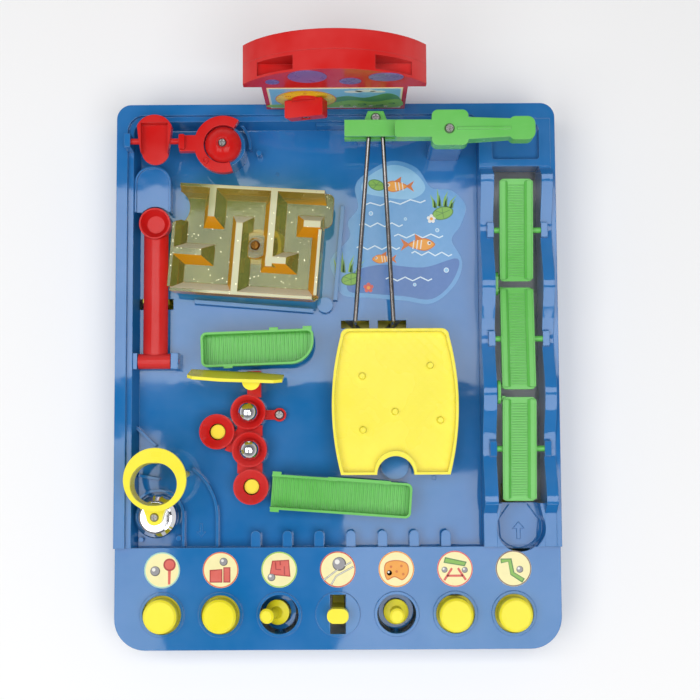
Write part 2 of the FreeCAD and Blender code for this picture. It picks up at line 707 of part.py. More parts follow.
first_x = hole_xs[0]
button_cap("button_cap_1", first_x, pad_top + s.play)
lever_half = s.lever_width / 2
head_y = s.finger_y
arm_under = s.catapult_height - 2.5
finger_top = arm_under - s.play
node("lever_1", fuse(
    *lever_bar(first_x, s.lever_one_pivot, head_y + 3.5, 7.5),
    box((s.slot_x - s.finger_half - 1, first_x + lever_half), (head_y - 4, head_y + 3.5), (3, 7.5)),
    box((s.slot_x - s.finger_half, s.slot_x + s.finger_half),
        (head_y - s.finger_thick / 2, head_y + s.finger_thick / 2), (5, finger_top))))
fittings += ears(first_x, lever_half, s.lever_one_pivot, s.lever_pivot_height, deck_under)

beam = s.beam_width / 2
cup_x = s.catapult_x
beam_top = s.cup_top - 3
throw_pin = s.hub_half_width + s.side_play + s.trunnion
node("catapult_arm", cut(
    fuse(
        # beam with a round top
        common(box((cup_x - beam, cup_x + beam), (s.catapult_pivot, cup_y - 6), (arm_under, beam_top)),
               rod(s.beam_arch, (cup_x, s.catapult_pivot - 1, beam_top - s.beam_arch), s.catapult_reach,
                   "Y")),
        rod(s.cup_radius, (cup_x, cup_y, arm_under), s.cup_top - arm_under),
        rod(s.hub_radius, (cup_x - s.hub_half_width, s.catapult_pivot, s.catapult_height),
            s.hub_half_width * 2, "X"),
        rod(s.pivot_radius, (cup_x - throw_pin, s.catapult_pivot, s.catapult_height), throw_pin * 2, "X")),
    cone(s.cup_floor_radius, s.cup_radius - 1, (cup_x, cup_y, arm_under + 2), s.cup_top - arm_under - 1.9)))


# Popper: button, lever, lifting plate, cups and balls

second_x = hole_xs[1]
button_cap("button_cap_2", second_x, pad_top + s.play)
nose = 2
nose_y = s.popper_y - 2.7
node("lever_2", fuse(
    *lever_bar(second_x, s.lever_two_pivot, nose_y + 1, 9.5),
    rod(nose, (second_x - lever_half, nose_y, s.plate_bottom - s.play - nose), s.lever_width, "X")))
fittings += ears(second_x, lever_half, s.lever_two_pivot, s.lever_pivot_height, deck_under)

near, middle, far, side = [cup_places[k] for k in ("near", "middle", "far", "side")]
guides = [(middle[0] + 0.5, middle[1] - 12.7), (middle[0] - 0.6, middle[1] + 12.8)]
plate_top = s.plate_bottom + s.plate_thick
plate = prism([(near[0] - 4, near[1] - 4), (near[0] + 4.5, near[1] - 4), (far[0] + 5, far[1] + 4.5),
               (far[0] - 4, far[1] + 4.5), (side[0] - 4.5, side[1] + 4.5), (side[0] - 4.5, middle[1] - 9),
               (near[0] - 9, middle[1] - 9)], (s.plate_bottom, plate_top))
lifters = [rod(s.pin_radius, (x, y, plate_top - 0.5), s.pin_top - plate_top + 0.5)
           for x, y in cup_places.values()]
node("popper_plate", cut(
    fuse(plate, *lifters, *[rod(4, (x, y, s.plate_bottom), 6) for x, y in guides]),
    *[rod(pivot_bore, (x, y, s.plate_bottom - 1), 9) for x, y in guides]))
fittings += [rod(s.pivot_radius, (x, y, 4), deck_under - 4) for x, y in guides]

cups = []
for x, y in cup_places.values():
    cups.append(turned([(s.popper_hole, s.deck_height), (s.popper_radius, s.deck_height),
                        (s.popper_radius, s.popper_lip), (s.popper_radius - 1, s.popper_lip),
                        (s.popper_hole, s.popper_seat)], (x, y, 0)))
neck = s.popper_neck / 2
sheet_foot = s.popper_seat + 4
webs = [
    box((middle[0] - neck, middle[0] + neck), (near[1] + 9, middle[1] - 9), (s.deck_height, s.popper_seat)),
    box((middle[0] - neck, middle[0] + neck), (middle[1] + 9, far[1] - 9), (s.deck_height, s.popper_seat)),
    prism([(middle[0] - 13, middle[1] - 1.7), (middle[0] - 4.9, middle[1] + 12.5),
           (side[0] + 13, side[1] + 1.7), (side[0] + 4.9, side[1] - 12.5)], (s.deck_height, s.popper_seat)),
    # ear with its screw hole, and the block that carries the upright plate
    box((far[0] + 10.5, far[0] + 21), (far[1] - 5, far[1] + 1.5), (s.deck_height, s.deck_height + 4)),
    rod(4.6, (far[0] + 20.8, far[1] - 1.7, s.deck_height), 4),
    box((far[0] - 0.6, far[0] + 8.8), (far[1] + 10, far[1] + s.sheet_behind), (s.deck_height, sheet_foot)),
]
popper_screw = (far[0] + 20.8, far[1] - 1.7, s.deck_height + 4)
node("popper_cups", cut(fuse(*cups, *webs),
                        rod(s.screw_hole, (far[0] + 20.8, far[1] - 1.7, s.deck_height - 1), 6)))

plate_lean = FreeCAD.Rotation(FreeCAD.Vector(1, 0, 0), 13)
plate_yaw = FreeCAD.Rotation(FreeCAD.Vector(0, 0, 1), -3.8)
sheet_x, sheet_y = far[0] + 4.2, far[1] + s.sheet_behind - 2.8
shield = fuse(
    prism([(-42, 4), (-6.5, 2.4), (-5, 0), (5, 0), (6.5, 2.4), (20.5, 4), (20.5, 22), (15, 27),
           (-20, 33), (-38, 31), (-42, 26)], (0, s.sheet_thick), "Y"),
    common(rod(s.boss_radius, (0, 0, 0.2), 24), box((-10, 10), (-10, 1), (0, 30))))
node("deflector_plate", put(
    shield, (sheet_x, sheet_y, sheet_foot + 1.4), plate_yaw.multiply(plate_lean)))

for number, (x, y) in enumerate((middle, far), start=1):
    drop = math.sqrt(float(s.ball_radius) ** 2 - float(s.popper_hole) ** 2)
    node("ball_%d" % number, ball(s.ball_radius, (x, y, s.popper_seat + drop + 0.02)))


# Joysticks with their rings and tie strips

def turn(axis, angle):
    return FreeCAD.Rotation(FreeCAD.Vector(*axis), float(as_size(angle)))


def gimbal_ring(name, at, gap, rotation):
    """A ring with two outward pins front and back and two bores left and right."""
    pin = s.ring_outer + gap + s.post_thick - 0.2
    half = s.ring_thick / 2
    body = fuse(ring(s.ring_outer, s.ring_inner, (0, 0, -half), s.ring_thick),
                rod(s.cross_pin, (0, s.ring_inner + 1.5, 0), pin - s.ring_inner - 1.5, "Y"),
                rod(s.cross_pin, (0, -pin, 0), pin - s.ring_inner - 1.5, "Y"))
    bore = rod(s.cross_pin + s.bore_play, (-s.ring_outer - 1, 0, 0), s.ring_outer * 2 + 2, "X")
    return node(name, put(cut(body, bore), at, rotation))


def gimbal_posts(x, y, height, gap, top, foot, yaw=0):
    """The two posts that carry a ring's pins."""
    posts = []
    for sign in (-1, 1):
        near = s.ring_outer + gap
        ends = (near, near + s.post_thick) if sign > 0 else (-near - s.post_thick, -near)
        post = box((-4, 4), ends, (foot, top))
        start = ends[0] - 0.5
        hole = rod(s.cross_pin + s.bore_play, (0, start, height), s.post_thick + 1, "Y")
        posts.append(put(cut(post, hole), (x, y, 0), turn((0, 0, 1), yaw)))
    return posts


def cross_hub(height_below, height_above):
    """The hub inside a ring, with its two pins."""
    reach = s.ring_outer - 0.2
    return [rod(s.hub_half, (0, 0, -height_below), height_below + height_above),
            rod(s.cross_pin, (-reach, 0, 0), reach * 2, "X")]


third_x, fifth_x = hole_xs[2], hole_xs[4]
stick_up = s.stick_top - s.stick_height
for number, x, lean in ((3, third_x, -s.lean), (5, fifth_x, 0)):
    tilt = turn((0, 1, 0), lean)
    at = (x, button_y, s.stick_height)
    gimbal_ring("yoke_%d" % number, at, s.stick_gap, tilt)
    fittings += gimbal_posts(x, button_y, s.stick_height, s.stick_gap, panel_under, s.stick_height - 4)
    stick = fuse(
        *cross_hub(as_size(3), as_size(3)),
        turned([(0, 2), (s.hub_half, 2.5), (8.5, 6), (8.5, 7.2), (s.stick_radius + 1, 8.5),
                (s.stick_radius, 12), (s.stick_radius, stick_up - 6), (s.tip_radius - 0.6, stick_up - 4.6),
                (s.tip_radius, stick_up - 3), (s.tip_radius, stick_up - 1.4),
                (s.tip_radius - 1.4, stick_up), (0, stick_up)]),
        rod(s.stem_rod, (0, 0, -s.stick_leg), s.stick_leg),
        ball(s.joint_ball, (0, 0, -s.stick_leg)))
    node("stick_%d" % number, put(stick, at, tilt))

shift = s.stick_leg * sine(s.lean)
tie_low = s.tie_height - s.tie_thick / 2
tie_high = s.tie_height + s.tie_thick / 2
tie_half = s.tie_width / 2


def tie_strip(name, front_x, back_x, back_y, bend_from, bend_to):
    """A flat strip that joins a stick's foot to a platform's stem, with a hole at each end."""
    points = [(front_x - tie_half, button_y - tie_half - 2), (front_x + tie_half, button_y - tie_half - 2),
              (front_x + tie_half, bend_from)]
    if bend_to is not None:
        points += [(back_x + tie_half, bend_to)]
    points += [(back_x + tie_half, back_y + tie_half + 2), (back_x - tie_half, back_y + tie_half + 2)]
    if bend_to is not None:
        points += [(back_x - tie_half, bend_to)]
    points += [(front_x - tie_half, bend_from)]
    if bend_to is None:
        points = points[:2] + points[3:5]
    return node(name, cut(
        prism(points, (tie_low, tie_high)),
        rod(s.tie_hole, (front_x, button_y, tie_low - 1), s.tie_thick + 2),
        rod(s.tie_hole, (back_x, back_y, tie_low - 1), s.tie_thick + 2)))


maze_foot = s.maze_x + shift
tie_strip("tie_3", third_x + shift, maze_foot, s.maze_y, s.carriage_row + 20, s.maze_y - 45)
tie_strip("tie_5", fifth_x, s.board_x, s.board_y, s.carriage_row + 20, None)

for number, x in ((3, third_x + shift), (5, fifth_x)):
    half = s.carriage_half
    row = s.carriage_row
    rods_y = (row - 5, row + 5)
    block = box((x - half, x + half), (row - 9, row + 9), (1.5, s.guide_height + 3.5))
    tunnel = box((x - tie_half - s.play, x + tie_half + s.play), (row - 10, row + 10),
                 (tie_low - s.play, tie_high + s.play))
    runs = [rod(s.guide_rod + s.bore_play, (x - half - 1, y, s.guide_height), half * 2 + 2, "X")
            for y in rods_y]
    node("tie_carriage_%d" % number, cut(block, tunnel, *runs))
    centre = third_x if number == 3 else fifth_x
    span = s.guide_span
    fittings += [rod(s.guide_rod, (centre - span, y, s.guide_height), span * 2, "X") for y in rods_y]
    for side_x in (centre - span - 1, centre + span - 1.5):
        fittings.append(box((side_x, side_x + 2.5), (row - 8.5, row + 8.5),
                            (s.guide_height - 4, deck_under)))


# Maze platform on its gimbal

maze_turn = turn((0, 0, 1), s.maze_yaw)
maze_tilt = maze_turn.multiply(turn((0, 1, 0), s.maze_lean))
maze_at = (s.maze_x, s.maze_y, s.maze_pivot)
gimbal_ring("maze_ring", maze_at, s.post_gap, maze_tilt)
fittings += gimbal_posts(s.maze_x, s.maze_y, s.maze_pivot, s.post_gap, s.maze_pivot + 2.6, s.deck_height,
                         s.maze_yaw)

lift = s.maze_lift
floor_top = lift + s.maze_floor
crest = floor_top + s.maze_wall


def ridge(x, y, hips=(0, 0, 0, 0)):
    """A maze wall with broad leaning flanks; hips shorten its crest at the ends."""
    x0, x1, y0, y1 = [as_size(v) for v in (x[0], x[1], y[0], y[1])]
    foot = floor_top - 0.5
    along_y = float(x1) - float(x0) < float(y1) - float(y0)
    flank = s.ridge_flank
    insets = (flank, flank, hips[0], hips[1]) if along_y else (hips[0], hips[1], flank, flank)
    wedge = doc.addObject("Part::Wedge", "Ridge")
    values = {"Xmin": x0, "Xmax": x1, "Ymin": foot, "Ymax": crest, "Zmin": as_size(0) - y1,
              "Zmax": as_size(0) - y0,
              "X2min": x0 + insets[0], "X2max": x1 - insets[1],
              "Z2min": as_size(insets[3]) - y1, "Z2max": as_size(0) - y0 - insets[2]}
    for prop, value in values.items():
        bind(wedge, prop, as_size(value))
    return put(wedge, (0, 0, 0), turn((1, 0, 0), 90))


left, right, low, high = s.maze_left, s.maze_right, s.maze_front, s.maze_back
wall_top, wall_foot = as_size(2.2), as_size(8)
platform = [
    slab((left, right), (low, high), (lift, floor_top), (5, 5, 3, 5)),
    slab((right - 5, right + 5), (15, high), (lift, floor_top), (0, 5, 4, 0)),
    # outer walls, thin at the crest and thick at the floor
    prism([(low, floor_top - 0.5), (low + wall_foot, floor_top - 0.5), (low + wall_top, crest),
           (low, crest)],
          (left + 2, right - 3), "X"),
    prism([(high, floor_top - 0.5), (high - wall_foot, floor_top - 0.5), (high - wall_top, crest),
           (high, crest)],
          (left + 3, right), "X"),
    prism([(left, floor_top - 0.5), (left + wall_foot, floor_top - 0.5), (left + wall_top, crest),
           (left, crest)],
          (low + 3, 14), "Y"),
    prism([(right, floor_top - 0.5), (right - wall_foot, floor_top - 0.5), (right - wall_top, crest),
           (right, crest)],
          (low + 3, 12), "Y"),
    # inner walls
    ridge((-37.5, -22.5), (10, high - 1), (6.5, 0)),
    ridge((4.5, 19.5), (-15, high - 1), (0, 0)),
    ridge((4.5, 30), (-18, -3), (5, 6.5)),
    ridge((-17.5, -2.5), (low + 1, 20), (0, 6.5)),
    ridge((left + 1, -28), (-15.5, -0.5), (0, 6.5)),
    ridge((27, right - 1), (7.8, 22.8), (6.5, 0)),
    rod(9, (0, 0, lift), s.maze_floor + 4),
]
maze_body = cut(
    fuse(*platform, *cross_hub(as_size(3), lift)),
    rod(13, (left - 5, 23, lift - 1), 30),
    rod(4.6, (0, 0, floor_top + 2.6), 3),
    rod(s.stem_rod + s.bore_play, (0, 0, -8), lift + 8 + s.maze_floor - 2),
    rod(s.screw_hole, (0, 0, -4), 30))
node("maze", put(maze_body, maze_at, maze_tilt))
stem_length = s.maze_pivot - s.tie_height
node("maze_stem", put(fuse(
    cut(rod(s.stem_rod, (0, 0, -stem_length), stem_length + lift), rod(1.25, (0, 0, lift - 6), 10)),
    ball(s.joint_ball, (0, 0, -stem_length))), maze_at, maze_tilt))


def screw(at, rotation=None, length=6, head=3.4, rise=1.8):
    """A pan-head screw with a crossed recess, with its head's seat at the given place."""
    shape = cut(
        fuse(rod(1.2, (0, 0, -length), length + 0.2),
             cone(head, head * 0.72, (0, 0, 0), rise)),
        box((-2, 2), (-0.4, 0.4), (rise - 1, rise + 1)), box((-0.4, 0.4), (-2, 2), (rise - 1, rise + 1)))
    return put(shape, at, rotation)


node("maze_screw", put(fuse(screw((0, 0, floor_top + 2.6), None, 7)), maze_at, maze_tilt))

# low frame round the maze, standing on the deck
fence_top = s.deck_height + s.lane_height
for ends in (((54, 57), (-31, 35)), ((-41, 41), (-41, -38))):
    fittings.append(put(fuse(box(ends[0], ends[1], (s.deck_height, fence_top))), (s.maze_x, s.maze_y, 0),
                        maze_turn))
fittings.append(put(fuse(rod(5.5, (48.7, -34.8, s.deck_height), s.lane_height + 1)),
                    (s.maze_x, s.maze_y, 0), maze_turn))


# Rounded platform on its gimbal

board_at = (s.board_x, s.board_y, s.board_pivot)
flat = turn((0, 0, 1), 0)
gimbal_ring("board_ring", board_at, s.post_gap, flat)
fittings += gimbal_posts(s.board_x, s.board_y, s.board_pivot, s.post_gap, s.board_pivot + 2.6,
                         s.deck_height)


def board_face(inset, height):
    """The platform's outline: bowed sides, straight ends and a half-round notch at the front."""
    half = float(s.board_half_width) - inset
    bulge = float(s.board_bulge)
    y0, y1 = float(s.board_front) + inset, float(s.board_back) - inset
    r = 5
    k = r * (1 - math.sqrt(0.5))
    n = float(s.notch_radius) + inset
    edges = [line((-half, y0, height), (-n, y0, height))]
    edges += [arc((-n, y0, height), (0, y0 + n, height), (n, y0, height)),
              line((n, y0, height), (half, y0, height))]
    edges += [arc((half, y0, height), (half + bulge, 0, height), (half, y1 - r, height)),
              arc((half, y1 - r, height), (half - k, y1 - k, height), (half - r, y1, height)),
              line((half - r, y1, height), (r - half, y1, height)),
              arc((r - half, y1, height), (k - half, y1 - k, height), (-half, y1 - r, height)),
              arc((-half, y1 - r, height), (-half - bulge, 0, height), (-half, y0, height))]
    return Part.Face(Part.Wire(edges))


board_low = float(s.board_lift)
board_floor = board_low + float(s.board_floor)
board_rise = FreeCAD.Vector(0, 0, float(s.board_floor + s.board_rim))
outer_board = plain(board_face(0, board_low).extrude(board_rise))
inner_board = plain(board_face(1.8, board_floor).extrude(FreeCAD.Vector(0, 0, 20)))
bumps = [cone(2.6, 1.8, (x, y, board_floor - 0.5), 4.5) for x, y in
         ((-22, 17.7), (23.8, 24.7), (0, -6.3), (-21.6, -18.5), (30.4, -12.1))]
node("board", put(
    cut(fuse(cut(outer_board, inner_board), *bumps, *cross_hub(as_size(3), s.board_lift + 0.5)),
        rod(s.stem_rod + s.bore_play, (0, 0, -8), s.board_lift + 8)), board_at, flat))
board_stem = s.board_pivot - s.tie_height
node("board_stem", put(fuse(
    rod(s.stem_rod, (0, 0, -board_stem), board_stem + s.board_lift),
    ball(s.joint_ball, (0, 0, -board_stem))), board_at, flat))


# Slider, the two rails and their carriage

fourth_x = hole_xs[3]
strip_top = s.slider_bottom + s.slider_thick
plate_front, plate_rear = s.rail_end_y - 12.5, s.rail_end_y + 12.5


def slanted_slot(x, direction):
    """A slot at 45 degrees through the slider's plate."""
    reach = (s.slider_travel + s.play * 3) * math.sqrt(2)
    width = s.rail_radius + 0.8
    shape = fuse(box((-width, width), (-reach, reach), (s.slider_bottom - 1, strip_top + 1)),
                 rod(width, (0, -reach, s.slider_bottom - 1), s.slider_thick + 2),
                 rod(width, (0, reach, s.slider_bottom - 1), s.slider_thick + 2))
    return put(shape, (x, s.rail_end_y, 0), turn((0, 0, 1), direction))


knob_z = s.panel_height + s.collar_rise
node("slider_4", cut(
    fuse(
        box((fourth_x - s.slider_half, fourth_x + s.slider_half), (button_y - 9, plate_rear),
            (s.slider_bottom, strip_top)),
        box((fourth_x + s.slider_half - 1, s.rail_right_end + 11), (plate_front, plate_rear),
            (s.slider_bottom, strip_top)),
        slab((fourth_x - s.slot_width / 2 + 0.6, fourth_x + s.slot_width / 2 - 0.6),
             (button_y - 4.4, button_y + 4.4),
             (s.slider_bottom, knob_z + 2), (1, 1, 1, 1)),
        slab((fourth_x - 7.2, fourth_x + 7.2), (button_y - 4.9, button_y + 4.9),
             (knob_z + 1.5, s.button_top),
             (4.7, 4.7, 4.7, 4.7))),
    slanted_slot(s.rail_left_end, 45), slanted_slot(s.rail_right_end, -45)))
for y in (-75, 8):
    guide = box((fourth_x - s.slider_half - 3, fourth_x + s.slider_half + 3), (y - 4, y + 4),
                (s.slider_bottom - 3, deck_under))
    fittings.append(cut(guide, box((fourth_x - s.slider_half - s.play, fourth_x + s.slider_half + s.play),
                                   (y - 5, y + 5),
                                (s.slider_bottom - s.play, strip_top + s.play))))

pin_foot = s.rail_high - 8
for name, (top, end) in rail_ends.items():
    start = FreeCAD.Vector(float(top), float(s.rail_pivot_y), float(s.rail_high))
    finish = FreeCAD.Vector(float(end), float(s.rail_end_y), float(s.rail_low))
    run = finish - start
    bar = doc.addObject("Part::Cylinder", "Rail")
    bind(bar, "Radius", s.rail_radius)
    bar.Height = run.Length
    bar.Placement = FreeCAD.Placement(start, FreeCAD.Rotation(FreeCAD.Vector(0, 0, 1), run))
    foot = s.slider_bottom - 2
    node("rail_" + name, fuse(
        bar, ball(s.rail_radius, (top, s.rail_pivot_y, s.rail_high)),
        ball(s.rail_radius, (end, s.rail_end_y, s.rail_low)),
        rod(s.rail_radius, (top, s.rail_pivot_y, pin_foot), s.rail_high - pin_foot),
        rod(s.rail_radius, (end, s.rail_end_y, foot), s.rail_low - foot)))

deck_x = (s.carriage_left + s.carriage_right) / 2
front_y, rear_y = s.carriage_front, s.carriage_back
seat = s.rail_high - 9
lap = s.rail_high - 3
boss_y = rear_y + 4.2
node("rail_carriage", cut(
    fuse(prism([(front_y, seat), (rear_y, seat), (rear_y, s.carriage_top), (front_y, s.carriage_top),
                (front_y, s.carriage_top - 3), (rear_y - 3, s.carriage_top - 3), (rear_y - 3, lap),
                (front_y, lap)],
               (s.carriage_left, s.carriage_right), "X"),
         prism([(deck_x - 9, rear_y - 1), (deck_x + 9, rear_y - 1), (deck_x + 5.2, boss_y + 4.6),
                (deck_x - 5.2, boss_y + 4.6)], (seat, seat + 4))),
    rod(s.screw_hole, (deck_x, boss_y, seat - 1), 6),
    *[rod(s.rail_radius + s.bore_play, (top, s.rail_pivot_y, seat - 1), 9)
      for top, end in rail_ends.values()]))
fittings.append(box((deck_x - 12, deck_x + 12), (rear_y - 5, boss_y), (s.deck_height, seat)))
fittings.append(rod(4.6, (deck_x, boss_y, s.deck_height), seat - s.deck_height))
# the screw's hole in that stand
bores.append(rod(s.screw_hole, (deck_x, boss_y, seat - 8), 9))


# Crane: button, bell crank, rack, pinion shaft and swinging arm

button_cap("button_cap_6", crank_x, s.crank_pivot_height + s.crank_nose + s.play, True)
crank_y, crank_z = s.crank_pivot, s.crank_pivot_height
nose_front = crank_y - s.crank_arm
pin_z = crank_z - s.crank_drop
half = s.lever_width / 2
reach = half + s.side_play + s.ear_thick
rack_left = s.crane_x - s.gear_module * s.gear_teeth / 2 - 5.5
rack_right = rack_left + 4.6
node("lever_6", fuse(
    rod(4.2, (crank_x - half, crank_y, crank_z), s.lever_width, "X"),
    box((crank_x - half, crank_x + half), (nose_front, crank_y), (crank_z - 2.6, crank_z + 2.6)),
    rod(s.crank_nose, (crank_x - half, nose_front, crank_z), s.lever_width, "X"),
    box((crank_x - half, crank_x + half), (crank_y - 2.6, crank_y + 2.6), (pin_z, crank_z)),
    rod(2.6, (crank_x - half, crank_y, pin_z), s.lever_width, "X"),
    rod(1.5, (rack_left + 0.5, crank_y, pin_z), crank_x - rack_left, "X"),
    rod(s.pivot_radius, (crank_x - reach, crank_y, crank_z), reach * 2, "X")))
fittings += ears(crank_x, half, crank_y, crank_z, panel_under)

rack_top = s.rack_bottom + s.rack_thick
gear_x, gear_y = s.crane_x, s.crane_y
pitch_radius = s.gear_module * s.gear_teeth / 2
tooth_pitch = s.gear_module * math.pi
tooth_root = gear_x - pitch_radius - 0.6
tooth_tip = gear_x - pitch_radius + 0.5
teeth = []
for i in range(9):
    y = gear_y + tooth_pitch * (i - 5.5)
    teeth.append(prism([(rack_right - 0.5, y - 0.62), (tooth_root, y - 0.62), (tooth_tip, y - 0.3),
                        (tooth_tip, y + 0.3),
                        (tooth_root, y + 0.62), (rack_right - 0.5, y + 0.62)], (s.rack_bottom, rack_top)))
node("crane_rack", cut(
    fuse(box((rack_left, rack_right), (crank_y - 7, gear_y + 14), (s.rack_bottom, rack_top)),
         box((rack_left, rack_right + 3.4), (crank_y - 6, crank_y + 6), (1, s.rack_bottom + 5.5)), *teeth),
    box((rack_left - 1, rack_right + 5), (crank_y - 1.8, crank_y + 1.8), (pin_z - 1.8, pin_z + 4.8))))
for y in (-95, -10, 75, 135):
    guide = box((rack_left - 3, rack_right + 3), (y - 4, y + 4), (s.rack_bottom - 3, deck_under))
    fittings.append(cut(guide, box((rack_left - s.play, rack_right + s.play), (y - 5, y + 5),
                                (s.rack_bottom - s.play, rack_top + s.play))))


def spur(radius, root, tooth, thick, count, at):
    """A small wheel with straight teeth."""
    wheel = [rod(root, (0, 0, 0), thick)]
    for i in range(count):
        flank = prism([(-tooth, root - 0.6), (tooth, root - 0.6), (tooth * 0.45, radius),
                       (-tooth * 0.45, radius)],
                      (0, thick))
        wheel.append(put(fuse(flank), (0, 0, 0), turn((0, 0, 1), 360 / count * i)))
    return put(fuse(*wheel), at)


shaft_foot = s.rack_bottom - 2
shaft_top = s.crane_top - s.crane_skin
node("crane_shaft", fuse(
    spur(pitch_radius + 0.5, pitch_radius - 0.75, 0.62, s.rack_thick + 1, int(float(s.gear_teeth)),
         (gear_x, gear_y, s.rack_bottom - 0.5)),
    rod(pitch_radius - 0.75, (gear_x, gear_y, shaft_foot), 10),
    rod(s.shaft_radius, (gear_x, gear_y, rack_top + 2), shaft_top - rack_top - 2)))
post_top = s.crane_bottom - 2
tower = fuse(
    cut(slab((gear_x - 11.5, gear_x + 11.5), (gear_y - 7.5, gear_y + 7.5), (s.deck_height, post_top),
             (3, 3, 3, 3)),
        box((gear_x - 11.5 + s.skin, gear_x + 11.5 - s.skin),
            (gear_y - 7.5 + s.skin, gear_y + 7.5 - s.skin),
            (deck_under - 1, post_top - s.skin))),
    rod(s.shaft_radius + 2, (gear_x, gear_y, s.deck_height), post_top - s.deck_height))
fittings.append(tower)
# collar of the shaft under the deck
fittings.append(rod(s.shaft_radius + 2, (gear_x, gear_y, rack_top + 6), deck_under - rack_top - 6))
bores.append(rod(s.shaft_radius + s.bore_play, (gear_x, gear_y, 10), 80))

arm_low, arm_high = s.crane_bottom, s.crane_top
wide_x = gear_x + s.crane_reach
skin = s.crane_skin
roof = arm_high - skin
arm_blocks = [
    slab((gear_x - 11.5, gear_x + 12.5), (gear_y - 11, gear_y + 12.5), (arm_low, arm_high), (4, 4, 4, 4)),
    slab((gear_x - s.crane_tail, gear_x), (gear_y - 5.5, gear_y + 6), (arm_low, arm_high), (2, 0, 0, 2)),
    prism([(gear_x, gear_y - 8), (gear_x + 39.5, gear_y - 5.5), (gear_x + 39.5, gear_y + 6.5),
           (gear_x, gear_y + 8)],
          (arm_low, arm_high)),
    slab((wide_x - 17, wide_x), (gear_y - 7.5, gear_y + 8), (arm_low, arm_high), (4, 5, 5, 4)),
]
arm_hollows = [
    slab((gear_x - 11.5 + skin, gear_x + 12.5 - skin), (gear_y - 11 + skin, gear_y + 12.5 - skin),
         (arm_low - 1, roof), (2, 2, 2, 2)),
    box((gear_x - s.crane_tail + skin, gear_x), (gear_y - 5.5 + skin, gear_y + 6 - skin),
        (arm_low - 1, roof)),
    prism([(gear_x, gear_y - 8 + skin), (gear_x + 41, gear_y - 5.5 + skin),
           (gear_x + 41, gear_y + 6.5 - skin),
           (gear_x, gear_y + 8 - skin)], (arm_low - 1, roof)),
    slab((wide_x - 17 + skin, wide_x - skin), (gear_y - 7.5 + skin, gear_y + 8 - skin),
         (arm_low - 1, roof), (2, 3, 3, 2)),
]
magnet_x, magnet_y = wide_x - 8.5, gear_y
node("crane_arm", cut(
    fuse(cut(fuse(*arm_blocks), *arm_hollows),
         rod(6, (gear_x, gear_y, arm_low), roof - arm_low + 0.5),
         ring(6.2, 4.2, (magnet_x, magnet_y, arm_low + 2), roof - arm_low - 1.5),
         box((gear_x + 5, gear_x + 40), (gear_y - 0.8, gear_y + 0.8), (arm_high - 0.3, arm_high + 1.2))),
    rod(s.shaft_radius + s.bore_play / 2, (gear_x, gear_y, arm_low - 1), roof - arm_low + 1),
    rod(s.screw_hole, (gear_x, gear_y, roof - 1), 6)))
node("crane_magnet", rod(4.2, (magnet_x, magnet_y, arm_low + 1), roof - arm_low - 1))
node("crane_screw", screw((gear_x, gear_y, arm_high), None, 1.8))


# Seesaws: button, lever, three seesaws and two links

seventh_x = hole_xs[6]
button_cap("button_cap_7", seventh_x, pad_top + s.play)
nose_y = s.lever_seven_pivot + s.nose_arm
tilt_sine, tilt_cosine = sine(s.seesaw_tilt), cosine(s.seesaw_tilt)
leg_low = s.seesaw_pivot - (s.leg_arm + 1.5) * tilt_sine - s.leg_depth * tilt_cosine
nose_top = leg_low - s.play
node("lever_7", fuse(
    *lever_bar(seventh_x, s.lever_seven_pivot, nose_y + 6, 12),
    box((seventh_x - half, seventh_x + half), (nose_y - 5, nose_y + 6), (8, nose_top))))
fittings += ears(seventh_x, half, s.lever_seven_pivot, s.lever_pivot_height, deck_under)

wide = s.seesaw_width / 2
long = s.seesaw_half
pin_start = channel_left - 2.8 - seesaw_x
link_side = channel_left + 0.6 - seesaw_x
for number, (y, sign) in enumerate(zip(seesaw_ys, (1, -1, 1)), start=1):
    track = [slab((-wide, wide), (-long, long), (1, 2.8), (3, 3, 3, 3))]
    inner = wide - 4
    for low_x, high_x in ((-wide, -inner), (inner, wide)):
        track.append(box((low_x, high_x), (-long + 1.5, long - 1.5), (2.3, 4.6)))
    track += [rod(s.seesaw_hub, (-wide, 0, 0), wide * 2, "X"),
              rod(s.pivot_radius, (pin_start, 0, 0), s.channel_width + 5.6, "X")]
    # short pins that enter the links
    pins = {1: (-31.9,), 2: (33.5, -31.9), 3: (33.5,)}[number]
    for pin_y in pins:
        track.append(rod(1.2, (link_side, pin_y, 0), 2 - link_side, "X"))
        track.append(box((-wide, -wide + 2.4), (pin_y - 2, pin_y + 2), (-2, 1.5)))
    if number == 3:
        track.append(box((-6, 6), (-s.leg_arm - 1.5, -s.leg_arm + 1.5), (-s.leg_depth, 1.5)))
    node("seesaw_%d" % number, put(
        fuse(*track), (seesaw_x, y, s.seesaw_pivot), turn((1, 0, 0), s.seesaw_tilt * sign)))
for number, (front, back, sign) in enumerate(((seesaw_ys[1] + 33.5, seesaw_ys[0] - 31.9, -1),
                                              (seesaw_ys[2] + 33.5, seesaw_ys[1] - 31.9, 1)), start=1):
    height = s.seesaw_pivot + 33 * tilt_sine * sign
    low_x = channel_left + 0.6
    bar = fuse(box((low_x, low_x + 2.2), (front, back), (height - 3.6, height + 3.6)),
               rod(3.6, (low_x, front, height), 2.2, "X"), rod(3.6, (low_x, back, height), 2.2, "X"))
    node("link_%d" % number, cut(bar, rod(1.9, (low_x - 1, front, height), 5, "X"),
                                 rod(1.9, (low_x - 1, back, height), 5, "X")))
for y in seesaw_ys:
    for low_x, high_x in ((channel_left - 4.5, channel_left), (channel_right, channel_right + 4.5)):
        holders.append(box((low_x, high_x), (y - 5, y + 5), (s.rim_height - 8, s.seesaw_pivot + 2.9)))
    bores.append(rod(pivot_bore, (channel_left - 3.2, y, s.seesaw_pivot), s.channel_width + 6.4, "X"))


# Bell and hoop

